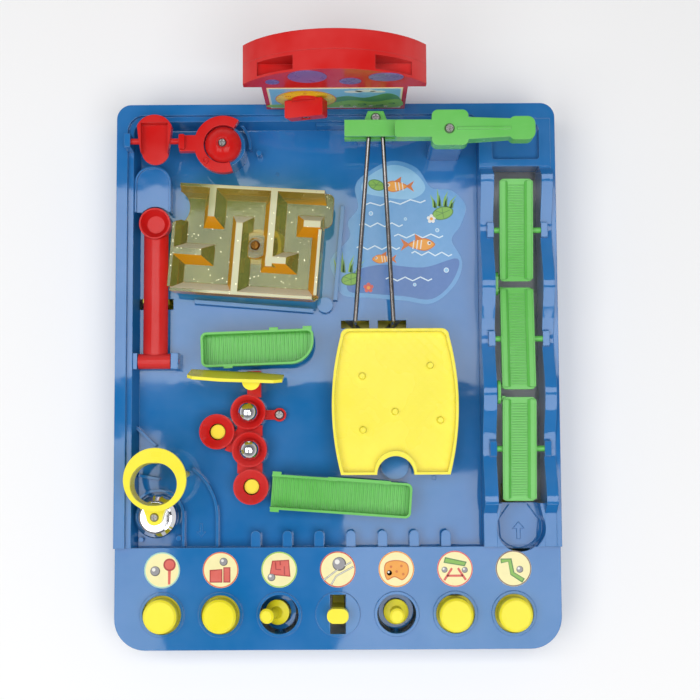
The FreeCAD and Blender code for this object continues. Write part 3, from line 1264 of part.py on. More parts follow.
def dome(radius, height, thick, foot=0):
    """A thin rounded cup turned upside down, with its lip at the bottom."""
    r, rise, t, f = float(radius), float(height), float(thick), float(foot)
    def arch(r, rise):
        big = (r * r + rise * rise) / (2 * rise)
        half = math.asin(r / big) / 2 if rise < r else math.pi / 4
        return (big * math.sin(half), 0, rise - big + big * math.cos(half)) if rise < r else \
            (r * math.sqrt(0.5), 0, rise * math.sqrt(0.5))
    mid, mid_in = arch(r, rise - f), arch(r - t, rise - f - t)
    edges = [line((r - t, 0, 0), (r, 0, 0))]
    if f:
        edges.append(line((r, 0, 0), (r, 0, f)))
    edges += [arc((r, 0, f), (mid[0], 0, mid[2] + f), (0, 0, rise)), line((0, 0, rise), (0, 0, rise - t)),
              arc((0, 0, rise - t), (mid_in[0], 0, mid_in[2] + f), (r - t, 0, f))]
    if f:
        edges.append(line((r - t, 0, f), (r - t, 0, 0)))
    return plain(face_from(edges).revolve(FreeCAD.Vector(0, 0, 0), FreeCAD.Vector(0, 0, 1), 360))


bell_at = (bell_x, bell_y, s.bell_bottom)
bell_top = s.bell_height
bell_shell = turned([
    (s.bell_radius - s.bell_skin, 0), (s.bell_radius, 0), (s.bell_radius, bell_top - 4.2),
    (s.bell_radius - 0.7, bell_top - 3), (s.bell_flat + 0.6, bell_top - 0.4), (s.bell_flat - 0.6, bell_top),
    (0, bell_top), (0, bell_top - s.bell_skin), (s.bell_flat - 1, bell_top - s.bell_skin),
    (s.bell_radius - s.bell_skin - 0.6, bell_top - 4), (s.bell_radius - s.bell_skin, bell_top - 4.6)])
node("bell", put(cut(fuse(bell_shell, cone(3.4, 3, (0, 0, bell_top - 0.6), 1.6),
                          rod(2.2, (0, 0, 0.3), bell_top - 1)),
                     rod(s.screw_hole, (0, 0, -1), 20)), bell_at))
tab_low = s.bell_bottom + bell_top + 1
tab_top = tab_low + s.tab_thick
hoop_low = s.hoop_radius - s.hoop_taper
hoop_rim = s.hoop_top - 3
hoop_leg_ring = hoop_low - s.hoop_leg - 0.5
front_y = hoop_y - hoop_low
tab_neck = s.tab_radius + 2.5
node("hoop", cut(
    fuse(cone(hoop_low, s.hoop_radius, (hoop_x, hoop_y, s.hoop_bottom), hoop_rim - s.hoop_bottom),
         rod(s.hoop_radius, (hoop_x, hoop_y, hoop_rim), 3),
         # web and tab that reach down to the middle of the bell
         box((bell_x - tab_neck, bell_x + tab_neck), (front_y - 1, front_y + 1.6),
             (tab_low, s.hoop_bottom + 3)),
         prism([(bell_x - s.tab_radius, bell_y), (bell_x + s.tab_radius, bell_y),
                (bell_x + tab_neck, front_y),
                (bell_x - tab_neck, front_y)], (tab_low, tab_top)),
         rod(s.tab_radius, (bell_x, bell_y, tab_low), s.tab_thick),
         *[rod(s.hoop_leg,
               (hoop_x + hoop_leg_ring * cosine(a), hoop_y + hoop_leg_ring * sine(a), s.deck_height),
               s.hoop_bottom + 3 - s.deck_height) for a in (10, 70, 130)]),
    *[cone(s.hoop_hole, s.hoop_hole + 0.8, (hoop_x + offset, hoop_y - s.hoop_hole_shift, s.hoop_bottom - 1),
           s.hoop_top - s.hoop_bottom + 2) for offset in (0.6, -2.2)],
    rod(s.screw_hole, (bell_x, bell_y, tab_low - 1), s.tab_thick + 2)))
hoop_screw = (bell_x, bell_y, tab_top)
bores.append(rod(s.screw_hole, (bell_x, bell_y, s.bell_bottom - 3), 4))


# Two short chutes

def chute(name, x, y, bottom, length, yaw, corners, tabs, legs):
    """An open trough on legs, with flat tabs along its edges."""
    half_l, half_w = length / 2, s.chute_width / 2
    t = s.chute_skin
    open_left = corners == "left"
    start = -half_l - 1 if open_left else -half_l + t
    end = half_l - t
    shell_corners = (1, 4, 4, 1) if open_left else (4, 16, 4, 4)
    inner_corners = (0, 2.5, 2.5, 0) if open_left else (2.5, 14.5, 2.5, 2.5)
    body = [cut(slab((-half_l, half_l), (-half_w, half_w), (0, s.chute_depth), shell_corners),
                slab((start, end), (-half_w + t, half_w - t), (t, s.chute_depth + 1), inner_corners))]
    for tab_x, tab_y in tabs:
        body.append(box((tab_x - 3, tab_x + 3), (min(tab_y, tab_y * 0.8), max(tab_y, tab_y * 0.8)),
                        (s.chute_depth - 2, s.chute_depth)))
    if open_left:
        body.append(box((tabs[1][0], tabs[2][0]), (tabs[1][1] - 1.4, tabs[1][1]),
                        (s.chute_depth - 6, s.chute_depth)))
        body.append(box((tabs[1][0], tabs[2][0]), (half_w - 0.5, tabs[1][1]),
                        (s.chute_depth - 6, s.chute_depth - 4.8)))
    for leg_x in legs:
        body.append(rod(3, (leg_x, 0, s.deck_height - bottom), bottom - s.deck_height + t / 2))
    if not open_left:
        body.append(cut(rod(17.5, (half_l - 17.5, -half_w + 17.5, t - 0.4), 2.2),
                        box((-60, half_l - 17.5), (-60, 60), (-5, 20)),
                        box((-60, 60), (-half_w + 17.5, 60), (-5, 20)),
                        rod(15.9, (half_l - 17.5, -half_w + 17.5, -1), 10)))
    return node(name, put(fuse(*body), (x, y, bottom), turn((0, 0, 1), yaw)))


chute("lower_chute", s.lower_chute_x, s.lower_chute_y, s.lower_chute_bottom, s.lower_chute_length,
      s.lower_chute_yaw, "left", [(-44, 13.6), (-6.6, 12.4), (29.7, 12.4), (-44, -13.4)], (-34, 36))
chute("upper_chute", s.upper_chute_x, s.upper_chute_y, s.upper_chute_bottom, s.upper_chute_length,
      s.upper_chute_yaw, "right", [(-20, -13), (11.4, 13.4), (34, 13.4)], (-26, 26))


# Corner: dome, collar and tipping chute

dome_foot = s.dome_bottom
dome_crown = s.dome_height - 1
node("dome_cap", put(
    cut(fuse(dome(s.dome_radius, s.dome_height, 1.6, 4), rod(3, (0, 0, 0), dome_crown)),
        rod(4, (0, 0, dome_crown), 3),
        rod(s.screw_hole, (0, 0, -1), s.dome_height)), (dome_x, s.dome_y, dome_foot)))
dome_screw = (dome_x, s.dome_y, dome_foot + dome_crown)
bores.append(rod(s.screw_hole, (dome_x, s.dome_y, dome_foot - 4), 5))
clevis_x = tip_x + s.tip_width / 2 + 6
collar_low, collar_high = dome_foot, dome_foot + s.collar_thick
mouth = prism([(0, 0), (40 * cosine(57), 40 * sine(57)), (60, 0), (40 * cosine(70), -40 * sine(70))],
              (-1, s.collar_thick + 1))
collar = put(cut(ring(s.collar_outer, s.collar_inner, (0, 0, 0), s.collar_thick), mouth),
             (dome_x, s.dome_y, collar_low))
node("collar_arm", cut(
    fuse(collar,
         box((clevis_x, dome_x - s.collar_inner - 2), (s.tip_y - 7, s.tip_y + 4),
             (collar_low, collar_high)),
         slab((clevis_x, clevis_x + 4), (s.tip_y - 6, s.tip_y + 4), (collar_low, s.tip_height + s.ear_half),
              (1, 1, 1, 1)),
         ring(2.4, 1.1, (dome_x - 12, s.dome_y - 11.5, collar_high - 0.5), 1.5)),
    rod(pivot_bore, (clevis_x - 1, s.tip_y, s.tip_height), 4, "X"),
    rod(s.collar_inner, (dome_x, s.dome_y, collar_low - 1), s.collar_thick + 2)))
tip_half = s.tip_width / 2
tip_floor = as_size(-4)
blade = plain(face_from([
    line((-float(tip_half) - 1.2, 10, 0), (-float(tip_half), 0, 0)),
    line((-float(tip_half), 0, 0), (-float(tip_half) + 1.4, -8, 0)),
    arc((-float(tip_half) + 1.4, -8, 0), (0, -15.5, 0), (float(tip_half) - 1.4, -8, 0)),
    line((float(tip_half) - 1.4, -8, 0), (float(tip_half), 0, 0)),
    line((float(tip_half), 0, 0), (float(tip_half) + 1.2, 10, 0)),
    arc((float(tip_half) + 1.2, 10, 0), (0, 17.5, 0), (-float(tip_half) - 1.2, 10, 0)),
]).extrude(FreeCAD.Vector(0, 0, 8)))
trough = cut(put(fuse(blade), (0, 0, tip_floor)),
             prism([(-tip_half + 1.6, -20), (tip_half - 1.6, -20), (tip_half - 1.4, 12),
                    (1.4 - tip_half, 12)],
                   (tip_floor + 1.6, 10)))
tip_left = s.tip_width / 2 + s.tip_gap + s.tip_grip - 0.4
node("tipping_chute", put(fuse(
    trough, rod(s.pivot_radius, (-tip_left, 0, 0), tip_left - tip_half + 1, "X"),
    rod(s.pivot_radius, (tip_half - 1, 0, 0), 9.6, "X")), (tip_x, s.tip_y, s.tip_height)))


# Timer

front, back = s.timer_front, s.timer_front + s.timer_depth
middle_y = front + s.timer_depth / 2
body_half, cap_half = float(s.timer_body_half), float(s.timer_cap_half)
eave, shoulder, crown = float(s.timer_eave), float(s.timer_shoulder), float(s.timer_top)
base = float(s.rim_height)


def timer_face(inset, y):
    """The timer seen from the front: a straight body under a wide arched cap."""
    b, c = body_half - inset, cap_half - inset
    low, e, h, top = base + inset, eave + inset, shoulder, crown - inset
    edges = [line((-b, y, low), (b, y, low)), line((b, y, low), (b, y, e)), line((b, y, e), (c, y, e)),
             line((c, y, e), (c, y, h)), arc((c, y, h), (0, y, top), (-c, y, h)),
             line((-c, y, h), (-c, y, e)), line((-c, y, e), (-b, y, e)), line((-b, y, e), (-b, y, low))]
    return Part.Face(Part.Wire(edges))


def timer_block(inset, y0, y1):
    y0, y1 = float(y0), float(y1)
    return plain(timer_face(inset, y0).extrude(FreeCAD.Vector(0, y1 - y0, 0)))


t = s.timer_skin
dial = (s.dial_x, front, s.dial_height)


def notches(grown):
    """Two notches cut down into the cap's front half, or the same notches with walls round them."""
    behind = middle_y - t - 0.2 + grown
    ahead = front + 1.5 - grown
    return [box((low_x - grown, high_x + grown), (ahead, behind), (s.notch_floor - grown, s.timer_top + 1))
            for low_x, high_x in ((s.notch_near, s.notch_far), (-s.notch_far, -s.notch_near))]


hooks = [box((x - 6, x + 6), (half_length + s.play, half_length + s.play + 2.5), (20, s.rim_height + 1))
         for x in (-s.hook_x, s.hook_x)]
node("timer_front_shell", cut(
    fuse(cut(timer_block(0, front, middle_y), *notches(as_size(0))), *hooks),
    cut(timer_block(float(t), front + t, middle_y + 1), *notches(t)),
    rod(2.4 + s.bore_play, (dial[0], front - 1, dial[2]), 8, "Y")))
node("timer_back_shell", fuse(
    cut(timer_block(0, middle_y, back), timer_block(float(t), middle_y - 1, back - t)),
    # posts that the case screws enter
    *[rod(3.2, (x, middle_y + 0.2, z), back - middle_y - 1, "Y")
      for x, z in ((-41, 54), (41, 54), (-40, 92), (40, 92))]))
knob_turn = turn((0, 1, 0), -20)
node("timer_knob", put(cut(
    fuse(put(fuse(rod(9.5, (0, -2.4 - s.play, 0), 2.4, "Y")), (0, 0, 0)),
         slab((-s.knob_length / 2, s.knob_length / 2), (-s.knob_depth - s.play, -s.play - 1), (-4.5, 4.5),
              (1.5, 1.5, 1, 1)),
         rod(2.4, (0, -1 - s.play, 0), s.timer_skin + 4 + s.play, "Y")),
    rod(s.screw_hole, (0, -s.knob_depth - 1, 0), 14, "Y"),
    rod(3.2, (0, -s.knob_depth - 1, 0), 2.6, "Y")), dial, knob_turn))
screw_face = s.knob_depth + s.play - 1.9
node("timer_knob_screw",
     put(fuse(screw((0, -screw_face, 0), turn((1, 0, 0), 90), 9, 2.8, 1.4)), dial, knob_turn))
arbor_y = s.timer_skin + 3.2
node("timer_arbor_gear", put(fuse(
    cut(rod(7.5, (0, arbor_y, 0), 3, "Y"),
        *[put(fuse(box((-0.5, 0.5), (arbor_y - 1, arbor_y + 4), (6.6, 8))), (0, 0, 0),
              turn((0, 1, 0), 30 * i))
          for i in range(12)],
        rod(2.4, (0, arbor_y - 1, 0), 5, "Y")),
    ring(3.4, 2.4, (0, arbor_y - 1.4, 0), 1.6, "Y")), dial, knob_turn))


# Printed labels and case screws

picture_z = s.deck_height + s.paper
node("deck_picture", cut(
    fuse(slab((8, 52), (28, 128), (s.deck_height, picture_z), (14, 18, 20, 14)),
         slab((34, 80), (44, 132), (s.deck_height, picture_z), (16, 18, 20, 14))),
    *[box((end - 10, end + 10), (s.rail_end_y - 6, s.rail_end_y + 6), (s.deck_height - 1, picture_z + 1))
      for top, end in rail_ends.values()]))
face_y = front - s.paper
node("printed_labels", fuse(
    *[rod(s.icon_radius, (x, icon_y, s.panel_height), s.paper) for x in hole_xs],
    cut(rod(s.dial_radius, (dial[0], face_y, dial[2]), s.paper, "Y"),
        rod(3, (dial[0], face_y - 1, dial[2]), 3, "Y")),
    cut(box((-body_half + 3, body_half - 3), (face_y, front), (s.rim_height + 4, s.timer_eave - 2)),
        rod(s.dial_radius + 0.6, (dial[0], face_y - 1, dial[2]), 3, "Y"))))
node("case_screws", fuse(
    screw((deck_x, boss_y, seat + 4)), screw(popper_screw), screw(dome_screw, None, 13, 3, 1.4),
    screw(hoop_screw, None, 16, 3, 1.4)))
bores.append(rod(s.screw_hole, (popper_screw[0], popper_screw[1], deck_under - 1), s.skin + 2))

# the channel's two walls, the block of the start pocket and the block of the basin
wall_outside = half_width - s.wave_inset
block_end = basin_front + s.basin_depth + s.skin
heights = (deck_under, s.rim_height + 20)
seats = [
    box((field_right, channel_left), (panel_back, s.channel_back), heights),
    box((channel_right, wall_outside), (panel_back, s.channel_back), heights),
    box((channel_left, channel_right), (panel_back, channel_start), heights),
    box((field_right, wall_outside), (s.channel_back, block_end), heights),
]
cores = [common(shell, seat) for seat in seats]
left_pins, right_pins = holders[0::2], holders[1::2]
blocks = [cut(fuse(cores[0], *left_pins), held(*bores)), cut(fuse(cores[1], *right_pins), held(*bores)),
          cores[2], cores[3]]
tray = node("base_tray", cut(shell, held(*seats), held(*bores)))
node("tray_fittings", held(cut(fuse(*fittings), tray, held(*blocks), held(*bores)), *blocks))


# Checks and files

doc.recompute()
failed = [o.Name for o in doc.Objects if "Invalid" in o.State or "Error" in o.State]
for name, obj in NODES.items():
    if obj.Shape.isNull() or not obj.Shape.isValid() or obj.Shape.Volume <= 0:
        failed.append(name)
if failed:
    raise RuntimeError("not sound: " + ", ".join(failed))
os.makedirs("parts", exist_ok=True)
for name, obj in NODES.items():
    obj.Shape.exportStep("parts/%s.step" % name)
print(len(NODES), "pieces")
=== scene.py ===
import math

import bmesh
import bpy
from mathutils import Matrix, Vector


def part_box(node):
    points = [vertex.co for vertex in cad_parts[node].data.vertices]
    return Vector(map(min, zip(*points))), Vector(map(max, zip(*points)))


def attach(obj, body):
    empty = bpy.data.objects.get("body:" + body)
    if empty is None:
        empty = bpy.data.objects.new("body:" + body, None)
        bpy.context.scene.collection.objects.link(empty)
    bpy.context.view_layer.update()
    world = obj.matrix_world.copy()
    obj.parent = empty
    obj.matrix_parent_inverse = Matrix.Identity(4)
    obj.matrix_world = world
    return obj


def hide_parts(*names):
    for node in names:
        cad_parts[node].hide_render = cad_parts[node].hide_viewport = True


# Looks of a ball obstacle course in a blue moulded tray.
# Lengths here are millimetres until they enter a mesh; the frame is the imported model's own.

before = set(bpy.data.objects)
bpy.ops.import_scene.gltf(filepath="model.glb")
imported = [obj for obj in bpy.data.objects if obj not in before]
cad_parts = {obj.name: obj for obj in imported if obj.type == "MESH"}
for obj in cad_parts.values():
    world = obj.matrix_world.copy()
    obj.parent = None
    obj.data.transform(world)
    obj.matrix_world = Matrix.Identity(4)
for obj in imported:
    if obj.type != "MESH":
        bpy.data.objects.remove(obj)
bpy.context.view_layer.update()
MM = 0.001


def middle(node):
    """The centre of a node's box, in millimetres."""
    low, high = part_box(node)
    return (low + high) / 2 / MM


def low_of(node):
    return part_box(node)[0] / MM


def high_of(node):
    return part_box(node)[1] / MM


# Places taken from the frame

control_nodes = ["button_cap_1", "button_cap_2", "yoke_3", "slider_4", "yoke_5", "button_cap_6",
                 "button_cap_7"]
outer_controls = [middle(n).x for n in (control_nodes[0], control_nodes[-1])]
control_pitch = (outer_controls[1] - outer_controls[0]) / (len(control_nodes) - 1)
control_xs = [outer_controls[0] + control_pitch * i for i in range(len(control_nodes))]
deck_top = low_of("deck_picture").z
paper_thick = 0.3
icon_radius = 12.0
panel_paper = low_of("printed_labels").z + paper_thick
icon_y = low_of("printed_labels").y + icon_radius
timer_front = high_of("printed_labels").y - paper_thick


# Colours, as they look in daylight

def colour(red, green, blue, alpha=1.0):
    """A colour given in display values of 0 to 255, as the shader wants it."""
    def linear(value):
        value = value / 255
        return value / 12.92 if value <= 0.04045 else ((value + 0.055) / 1.055) ** 2.4
    return (linear(red), linear(green), linear(blue), alpha)


def shade(tint, amount):
    """A darker or lighter version of a colour."""
    if amount <= 1:
        return tuple(c * amount for c in tint[:3]) + (1.0,)
    share = amount - 1
    return tuple(c + (1 - c) * share for c in tint[:3]) + (1.0,)


BLUE = colour(20, 114, 184)
GREEN = colour(100, 198, 82)
YELLOW = colour(254, 240, 34)
RED = colour(212, 16, 12)
PURPLE = colour(126, 96, 164)
CREAM = colour(250, 240, 176)
INK = colour(60, 58, 62)
AMBER_PALE = colour(176, 178, 104)
AMBER_CLEAR = colour(142, 148, 78)
# The next three colours paint light and shade into the amber: deep orange for light seen through thick
# plastic, a pale highlight on wall tops, and bright light on faces leaning to the back.
AMBER_PAINTED_DEEP = colour(246, 164, 22)
AMBER_PAINTED_TOP = colour(226, 224, 184)
AMBER_PAINTED_LIGHT = colour(252, 252, 232)
AMBER_SHADOW = colour(252, 232, 160)


# Materials

class Graph:
    """A material's node tree, with short ways to add and join nodes."""

    def __init__(self, name):
        self.material = bpy.data.materials.new(name)
        self.material.use_nodes = True
        self.tree = self.material.node_tree
        self.shader = self.tree.nodes["Principled BSDF"]
        self.place = self.add("ShaderNodeTexCoord").outputs["Object"]

    def add(self, kind, inputs=None, **settings):
        made = self.tree.nodes.new(kind)
        for key, value in settings.items():
            setattr(made, key, value)
        for key, value in (inputs or {}).items():
            self.feed(made.inputs[key], value)
        return made

    def feed(self, socket, value):
        if isinstance(value, bpy.types.NodeSocket):
            self.tree.links.new(value, socket)
        else:
            socket.default_value = value

    def set(self, **values):
        for key, value in values.items():
            self.feed(self.shader.inputs[key.replace("_", " ")], value)

    def noise(self, scale, detail=2.0, rough=0.5, stretch=None, place=None):
        where = place or self.place
        if stretch:
            where = self.add("ShaderNodeMapping", {"Vector": where, "Scale": stretch}).outputs["Vector"]
        made = self.add("ShaderNodeTexNoise", {"Vector": where, "Scale": scale, "Detail": detail,
                                               "Roughness": rough})
        return made.outputs["Fac"]

    def span(self, value, low, high, to_low, to_high):
        made = self.add("ShaderNodeMapRange", {"Value": value, "From Min": low, "From Max": high,
                                               "To Min": to_low, "To Max": to_high})
        return made.outputs["Result"]

    def mix(self, share, one, other, blend="MIX"):
        made = self.add("ShaderNodeMix", data_type="RGBA", blend_type=blend)
        self.feed(made.inputs["Factor"], share)
        self.feed(made.inputs[6], one)
        self.feed(made.inputs[7], other)
        return made.outputs[2]

    def math(self, kind, one, other=0.0):
        made = self.add("ShaderNodeMath", operation=kind)
        self.feed(made.inputs[0], one)
        self.feed(made.inputs[1], other)
        return made.outputs[0]

    def rounded(self, radius):
        """Edges softened by a radius, and a mask that is 1 on an edge and 0 on a flat."""
        bevel = self.add("ShaderNodeBevel", {"Radius": radius * MM}, samples=4).outputs["Normal"]
        flat = self.add("ShaderNodeNewGeometry").outputs["Normal"]
        likeness = self.add("ShaderNodeVectorMath", {0: bevel, 1: flat},
                            operation="DOT_PRODUCT").outputs["Value"]
        return bevel, self.span(likeness, 0.72, 0.99, 1.0, 0.0)

    def bump(self, height, distance, normal, strength=1.0):
        made = self.add("ShaderNodeBump", {"Height": height, "Normal": normal, "Distance": distance * MM,
                                           "Strength": strength})
        return made.outputs["Normal"]


def plastic_graph(name, tint, rough=0.2, edge=1.35, deep=0.0, warp=0.12, shine=0.5):
    """Glossy moulded plastic: faint clouds in the colour, flow marks, hairline scratches, and lighter
    edges, partly wear and partly a painted highlight.

    The warp is the slow unevenness of a moulded wall, which bends what it mirrors."""
    g = Graph(name)
    normal, edges = g.rounded(0.7)
    clouds = g.noise(22, 3, 0.55)
    flow = g.noise(6, 2, 0.4, stretch=(9, 1.4, 3))
    toned = g.mix(g.span(clouds, 0.3, 0.7, 0, 1), shade(tint, 0.93), shade(tint, 1.035))
    toned = g.mix(g.span(flow, 0.55, 0.75, 0, 0.22), toned, shade(tint, 0.9))
    # Edges are lightened at random, partly as wear and partly as a painted highlight along the moulded
    # edges.
    edge_wear_and_highlight = g.math("MULTIPLY", edges, g.span(g.noise(160, 2), 0.35, 0.65, 0.3, 0.75))
    toned = g.mix(edge_wear_and_highlight, toned, shade(tint, edge))
    hair = g.noise(70, 2, 0.6, stretch=(1.0, 34, 6))
    scratch = g.span(hair, 0.66, 0.72, 0, 1)
    grain = g.noise(2400, 1)
    orange_peel = g.noise(120, 2, 0.45)
    gloss = g.span(clouds, 0.3, 0.7, rough * 0.8, rough * 1.3)
    gloss = g.math("ADD", gloss, g.math("MULTIPLY", scratch, 0.1))
    height = g.math("ADD", orange_peel, g.math("MULTIPLY", grain, 0.03))
    warped = g.bump(g.noise(13, 3, 0.45), warp * 10, normal, 1.0)
    g.set(Base_Color=toned, Roughness=gloss, Normal=g.bump(height, 0.006, warped))
    g.shader.inputs["IOR"].default_value = 1.53
    g.shader.inputs["Specular IOR Level"].default_value = shine
    g.shader.inputs["Subsurface Weight"].default_value = deep
    g.shader.inputs["Subsurface Radius"].default_value = (0.004, 0.003, 0.002)
    return g


def plastic(name, tint, rough, **looks):
    return plastic_graph(name, tint, rough, **looks).material


def quilted_plastic(name, tint, pitch):
    """Yellow plastic with a fine pressed lattice of diagonal lines."""
    g = plastic_graph(name, tint, 0.26, deep=0.08)
    parts = g.add("ShaderNodeSeparateXYZ", {0: g.place}).outputs
    lines = []
    for kind in ("ADD", "SUBTRACT"):
        along = g.math("MULTIPLY", g.math(kind, parts["X"], parts["Y"]), 1 / (pitch * MM))
        near = g.math("ABSOLUTE", g.math("SUBTRACT", g.math("FRACT", along), 0.5))
        lines.append(g.span(near, 0.44, 0.5, 0, 1))
    lattice = g.math("MAXIMUM", lines[0], lines[1])
    before = g.shader.inputs["Normal"].links[0].from_socket
    g.set(Normal=g.bump(lattice, 0.1, before, 0.6))
    colour_now = g.shader.inputs["Base Color"].links[0].from_socket
    g.set(Base_Color=g.mix(g.math("MULTIPLY", lattice, 0.1), colour_now, shade(tint, 0.82)))
    return g.material


def amber(name):
    """Clear amber plastic with metal flakes in it: an olive floor, wall tops painted pale as a highlight,
    faces that lean to the back painted light, and painted deep orange on ones that lean to the front or to
    the left, standing in for light seen through thick plastic."""
    g = Graph(name)
    normal, edges = g.rounded(0.6)
    cells = g.add("ShaderNodeTexVoronoi", {"Vector": g.place, "Scale": 700.0}, feature="F1")
    chosen = g.add("ShaderNodeSeparateColor", {"Color": cells.outputs["Color"]}).outputs["Red"]
    small = g.span(cells.outputs["Distance"], 0.14, 0.2, 1, 0)
    flakes = g.math("MULTIPLY", small, g.math("GREATER_THAN", chosen, 0.86))
    facing = g.add("ShaderNodeSeparateXYZ", {0: g.add("ShaderNodeNewGeometry").outputs["Normal"]}).outputs
    share = g.add("ShaderNodeTexCoord").outputs["Generated"]
    share = g.add("ShaderNodeSeparateXYZ", {0: share}).outputs
    # Painted deep orange: faces leaning to the front or left, and the edges, are coloured deeper for light
    # seen through thick plastic, with less of it towards the back.
    inner = g.span(share["Y"], 0.8, 0.86, 1, 0.35)
    lean = g.math("ADD", g.math("MULTIPLY", facing["X"], 1.2), facing["Y"])
    painted_deep_mask = g.math("MULTIPLY", g.span(lean, -0.75, -0.4, 1, 0), inner)
    painted_deep_mask = g.math("MAXIMUM", painted_deep_mask, g.math("MULTIPLY", edges, 0.8))
    # Painted light: faces leaning to the back are painted bright, and high faces that look up get a painted
    # pale highlight.
    painted_light_mask = g.span(facing["Y"], 0.35, 0.6, 0, 1)
    top = g.math("MULTIPLY", g.span(share["Z"], 0.6, 0.7, 0, 1), g.span(facing["Z"], 0.7, 0.9, 0, 0.8))
    clouds = g.span(g.noise(30, 2), 0.35, 0.65, 0, 1)
    flat = g.mix(clouds, AMBER_PALE, AMBER_CLEAR)
    pale = g.mix(painted_light_mask, g.mix(top, flat, AMBER_PAINTED_TOP), AMBER_PAINTED_LIGHT)
    body = g.mix(painted_deep_mask, pale, AMBER_PAINTED_DEEP)
    tint = g.mix(flakes, body, colour(255, 252, 226))
    # Where light or deep orange is painted, the plastic is made more solid, so that the painted colour
    # shows.
    solid = g.math("MAXIMUM", g.math("MULTIPLY", painted_deep_mask, 0.75),
                   g.math("MAXIMUM", g.math("MULTIPLY", painted_light_mask, 0.85), top))
    solid = g.math("MAXIMUM", solid, 0.25)
    g.set(Base_Color=tint, Metallic=g.math("MULTIPLY", flakes, 0.85),
          Transmission_Weight=g.math("SUBTRACT", g.math("SUBTRACT", 1.0, solid), flakes),
          Roughness=g.span(g.noise(420, 2), 0.3, 0.7, 0.03, 0.09),
          Normal=g.bump(g.noise(150, 2), 0.02, normal))
    g.shader.inputs["IOR"].default_value = 1.46
    lamp_ray = g.add("ShaderNodeLightPath").outputs["Is Shadow Ray"]
    clear = g.add("ShaderNodeBsdfTransparent", {"Color": AMBER_SHADOW}).outputs["BSDF"]
    both = g.add("ShaderNodeMixShader",
                 {0: lamp_ray, 1: g.shader.outputs["BSDF"], 2: clear}).outputs["Shader"]
    g.tree.links.new(both, g.tree.nodes["Material Output"].inputs["Surface"])
    return g.material


def metal(name, tint, rough, brushed=0.0, radius=0.3):
    """Bare metal with fine drawn marks along one way."""
    g = Graph(name)
    normal = g.rounded(radius)[0]
    clouds = g.noise(90, 2)
    marks = g.noise(240, 2, 0.6, stretch=(1, 1, 14))
    toned = g.mix(g.span(clouds, 0.3, 0.7, 0, 1), shade(tint, 0.9), tint)
    gloss = g.span(marks, 0.35, 0.65, rough * 0.7, rough * 1.5)
    g.set(Base_Color=toned, Roughness=gloss, Normal=g.bump(marks, 0.004 + brushed, normal))
    g.shader.inputs["Metallic"].default_value = 1.0
    return g.material


def paper(name, tint, rough=0.34):
    """Printed and varnished paper: a fine dot screen and slight unevenness of ink."""
    g = Graph(name)
    ink = g.noise(120, 3, 0.6)
    dots = g.add("ShaderNodeTexVoronoi", {"Vector": g.place, "Scale": 2600.0}).outputs["Distance"]
    toned = g.mix(g.span(ink, 0.35, 0.7, 0, 1), shade(tint, 0.95), shade(tint, 1.03))
    toned = g.mix(g.span(dots, 0.25, 0.6, 0.05, 0.0), toned, shade(tint, 0.7))
    flat = g.add("ShaderNodeNewGeometry").outputs["Normal"]
    g.set(Base_Color=toned, Roughness=g.span(ink, 0.3, 0.7, rough * 0.8, rough * 1.2),
          Normal=g.bump(g.noise(1500, 2), 0.006, flat))
    return g.material


def magnet(name):
    """Dark sintered magnet, greyer where its edges are rubbed."""
    g = Graph(name)
    normal, edges = g.rounded(0.3)
    toned = g.mix(edges, colour(38, 38, 42), colour(96, 96, 100))
    g.set(Base_Color=toned, Roughness=g.span(g.noise(900, 3), 0.3, 0.7, 0.45, 0.7),
          Normal=g.bump(g.noise(1100, 3), 0.03, normal))
    g.shader.inputs["Metallic"].default_value = 0.3
    return g.material


blue = plastic("blue_plastic", BLUE, 0.04, edge=1.18, deep=0.03, warp=0.06)
green = plastic("green_plastic", GREEN, 0.22, edge=1.25, deep=0.06, warp=0.02, shine=0.4)
yellow = plastic("yellow_plastic", YELLOW, 0.28, edge=1.3, deep=0.08, warp=0.02, shine=0.3)
red = plastic("red_plastic", RED, 0.15, edge=1.08, deep=0.03, warp=0.02, shine=0.18)
quilted = quilted_plastic("quilted_plastic", YELLOW, 7.0)
clear_amber = amber("amber_plastic")
chrome = metal("bright_steel", colour(232, 232, 236), 0.05)
wire = metal("rail_steel", colour(128, 124, 122), 0.14, brushed=0.004)
zinc = metal("screw_steel", colour(150, 148, 146), 0.34, brushed=0.01)
bronze = metal("maze_screw_steel", colour(132, 92, 40), 0.4, brushed=0.01)
black = magnet("magnet_black")
purple_print = paper("purple_print", PURPLE, 0.28)
cream_print = paper("cream_print", CREAM)
ink_print = paper("ink_print", INK)

node_materials = {
    "base_tray": blue, "bell": chrome, "hoop": yellow, "popper_cups": red, "deflector_plate": yellow,
    "upper_chute": green, "lower_chute": green, "rail_carriage": green, "dome_cap": red, "collar_arm": red,
    "timer_front_shell": red, "timer_back_shell": red, "deck_picture": cream_print,
    "printed_labels": cream_print,
    "tray_fittings": blue, "case_screws": zinc, "catapult_arm": red, "popper_plate": yellow,
    "yoke_3": blue, "yoke_5": blue, "stick_3": yellow, "stick_5": yellow,
    "tie_carriage_3": yellow, "tie_carriage_5": yellow, "tie_3": yellow, "tie_5": yellow,
    "maze_ring": yellow, "maze": clear_amber, "maze_stem": yellow, "maze_screw": bronze,
    "board_ring": yellow, "board": quilted, "board_stem": yellow, "slider_4": yellow,
    "rail_left": wire, "rail_right": wire, "crane_rack": yellow, "crane_arm": green,
    "crane_shaft": green, "crane_magnet": black, "crane_screw": zinc,
    "seesaw_1": green, "seesaw_2": green, "seesaw_3": green, "link_1": green, "link_2": green,
    "timer_knob": red, "timer_knob_screw": zinc, "timer_arbor_gear": yellow, "tipping_chute": red,
    "ball_1": chrome, "ball_2": chrome,
}
for number in (1, 2, 6, 7):
    node_materials["button_cap_%d" % number] = yellow
    node_materials["lever_%d" % number] = yellow


def dress_nodes():
    for name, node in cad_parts.items():
        node.data.materials.clear()
        node.data.materials.append(node_materials[name])


# Ways to make pieces

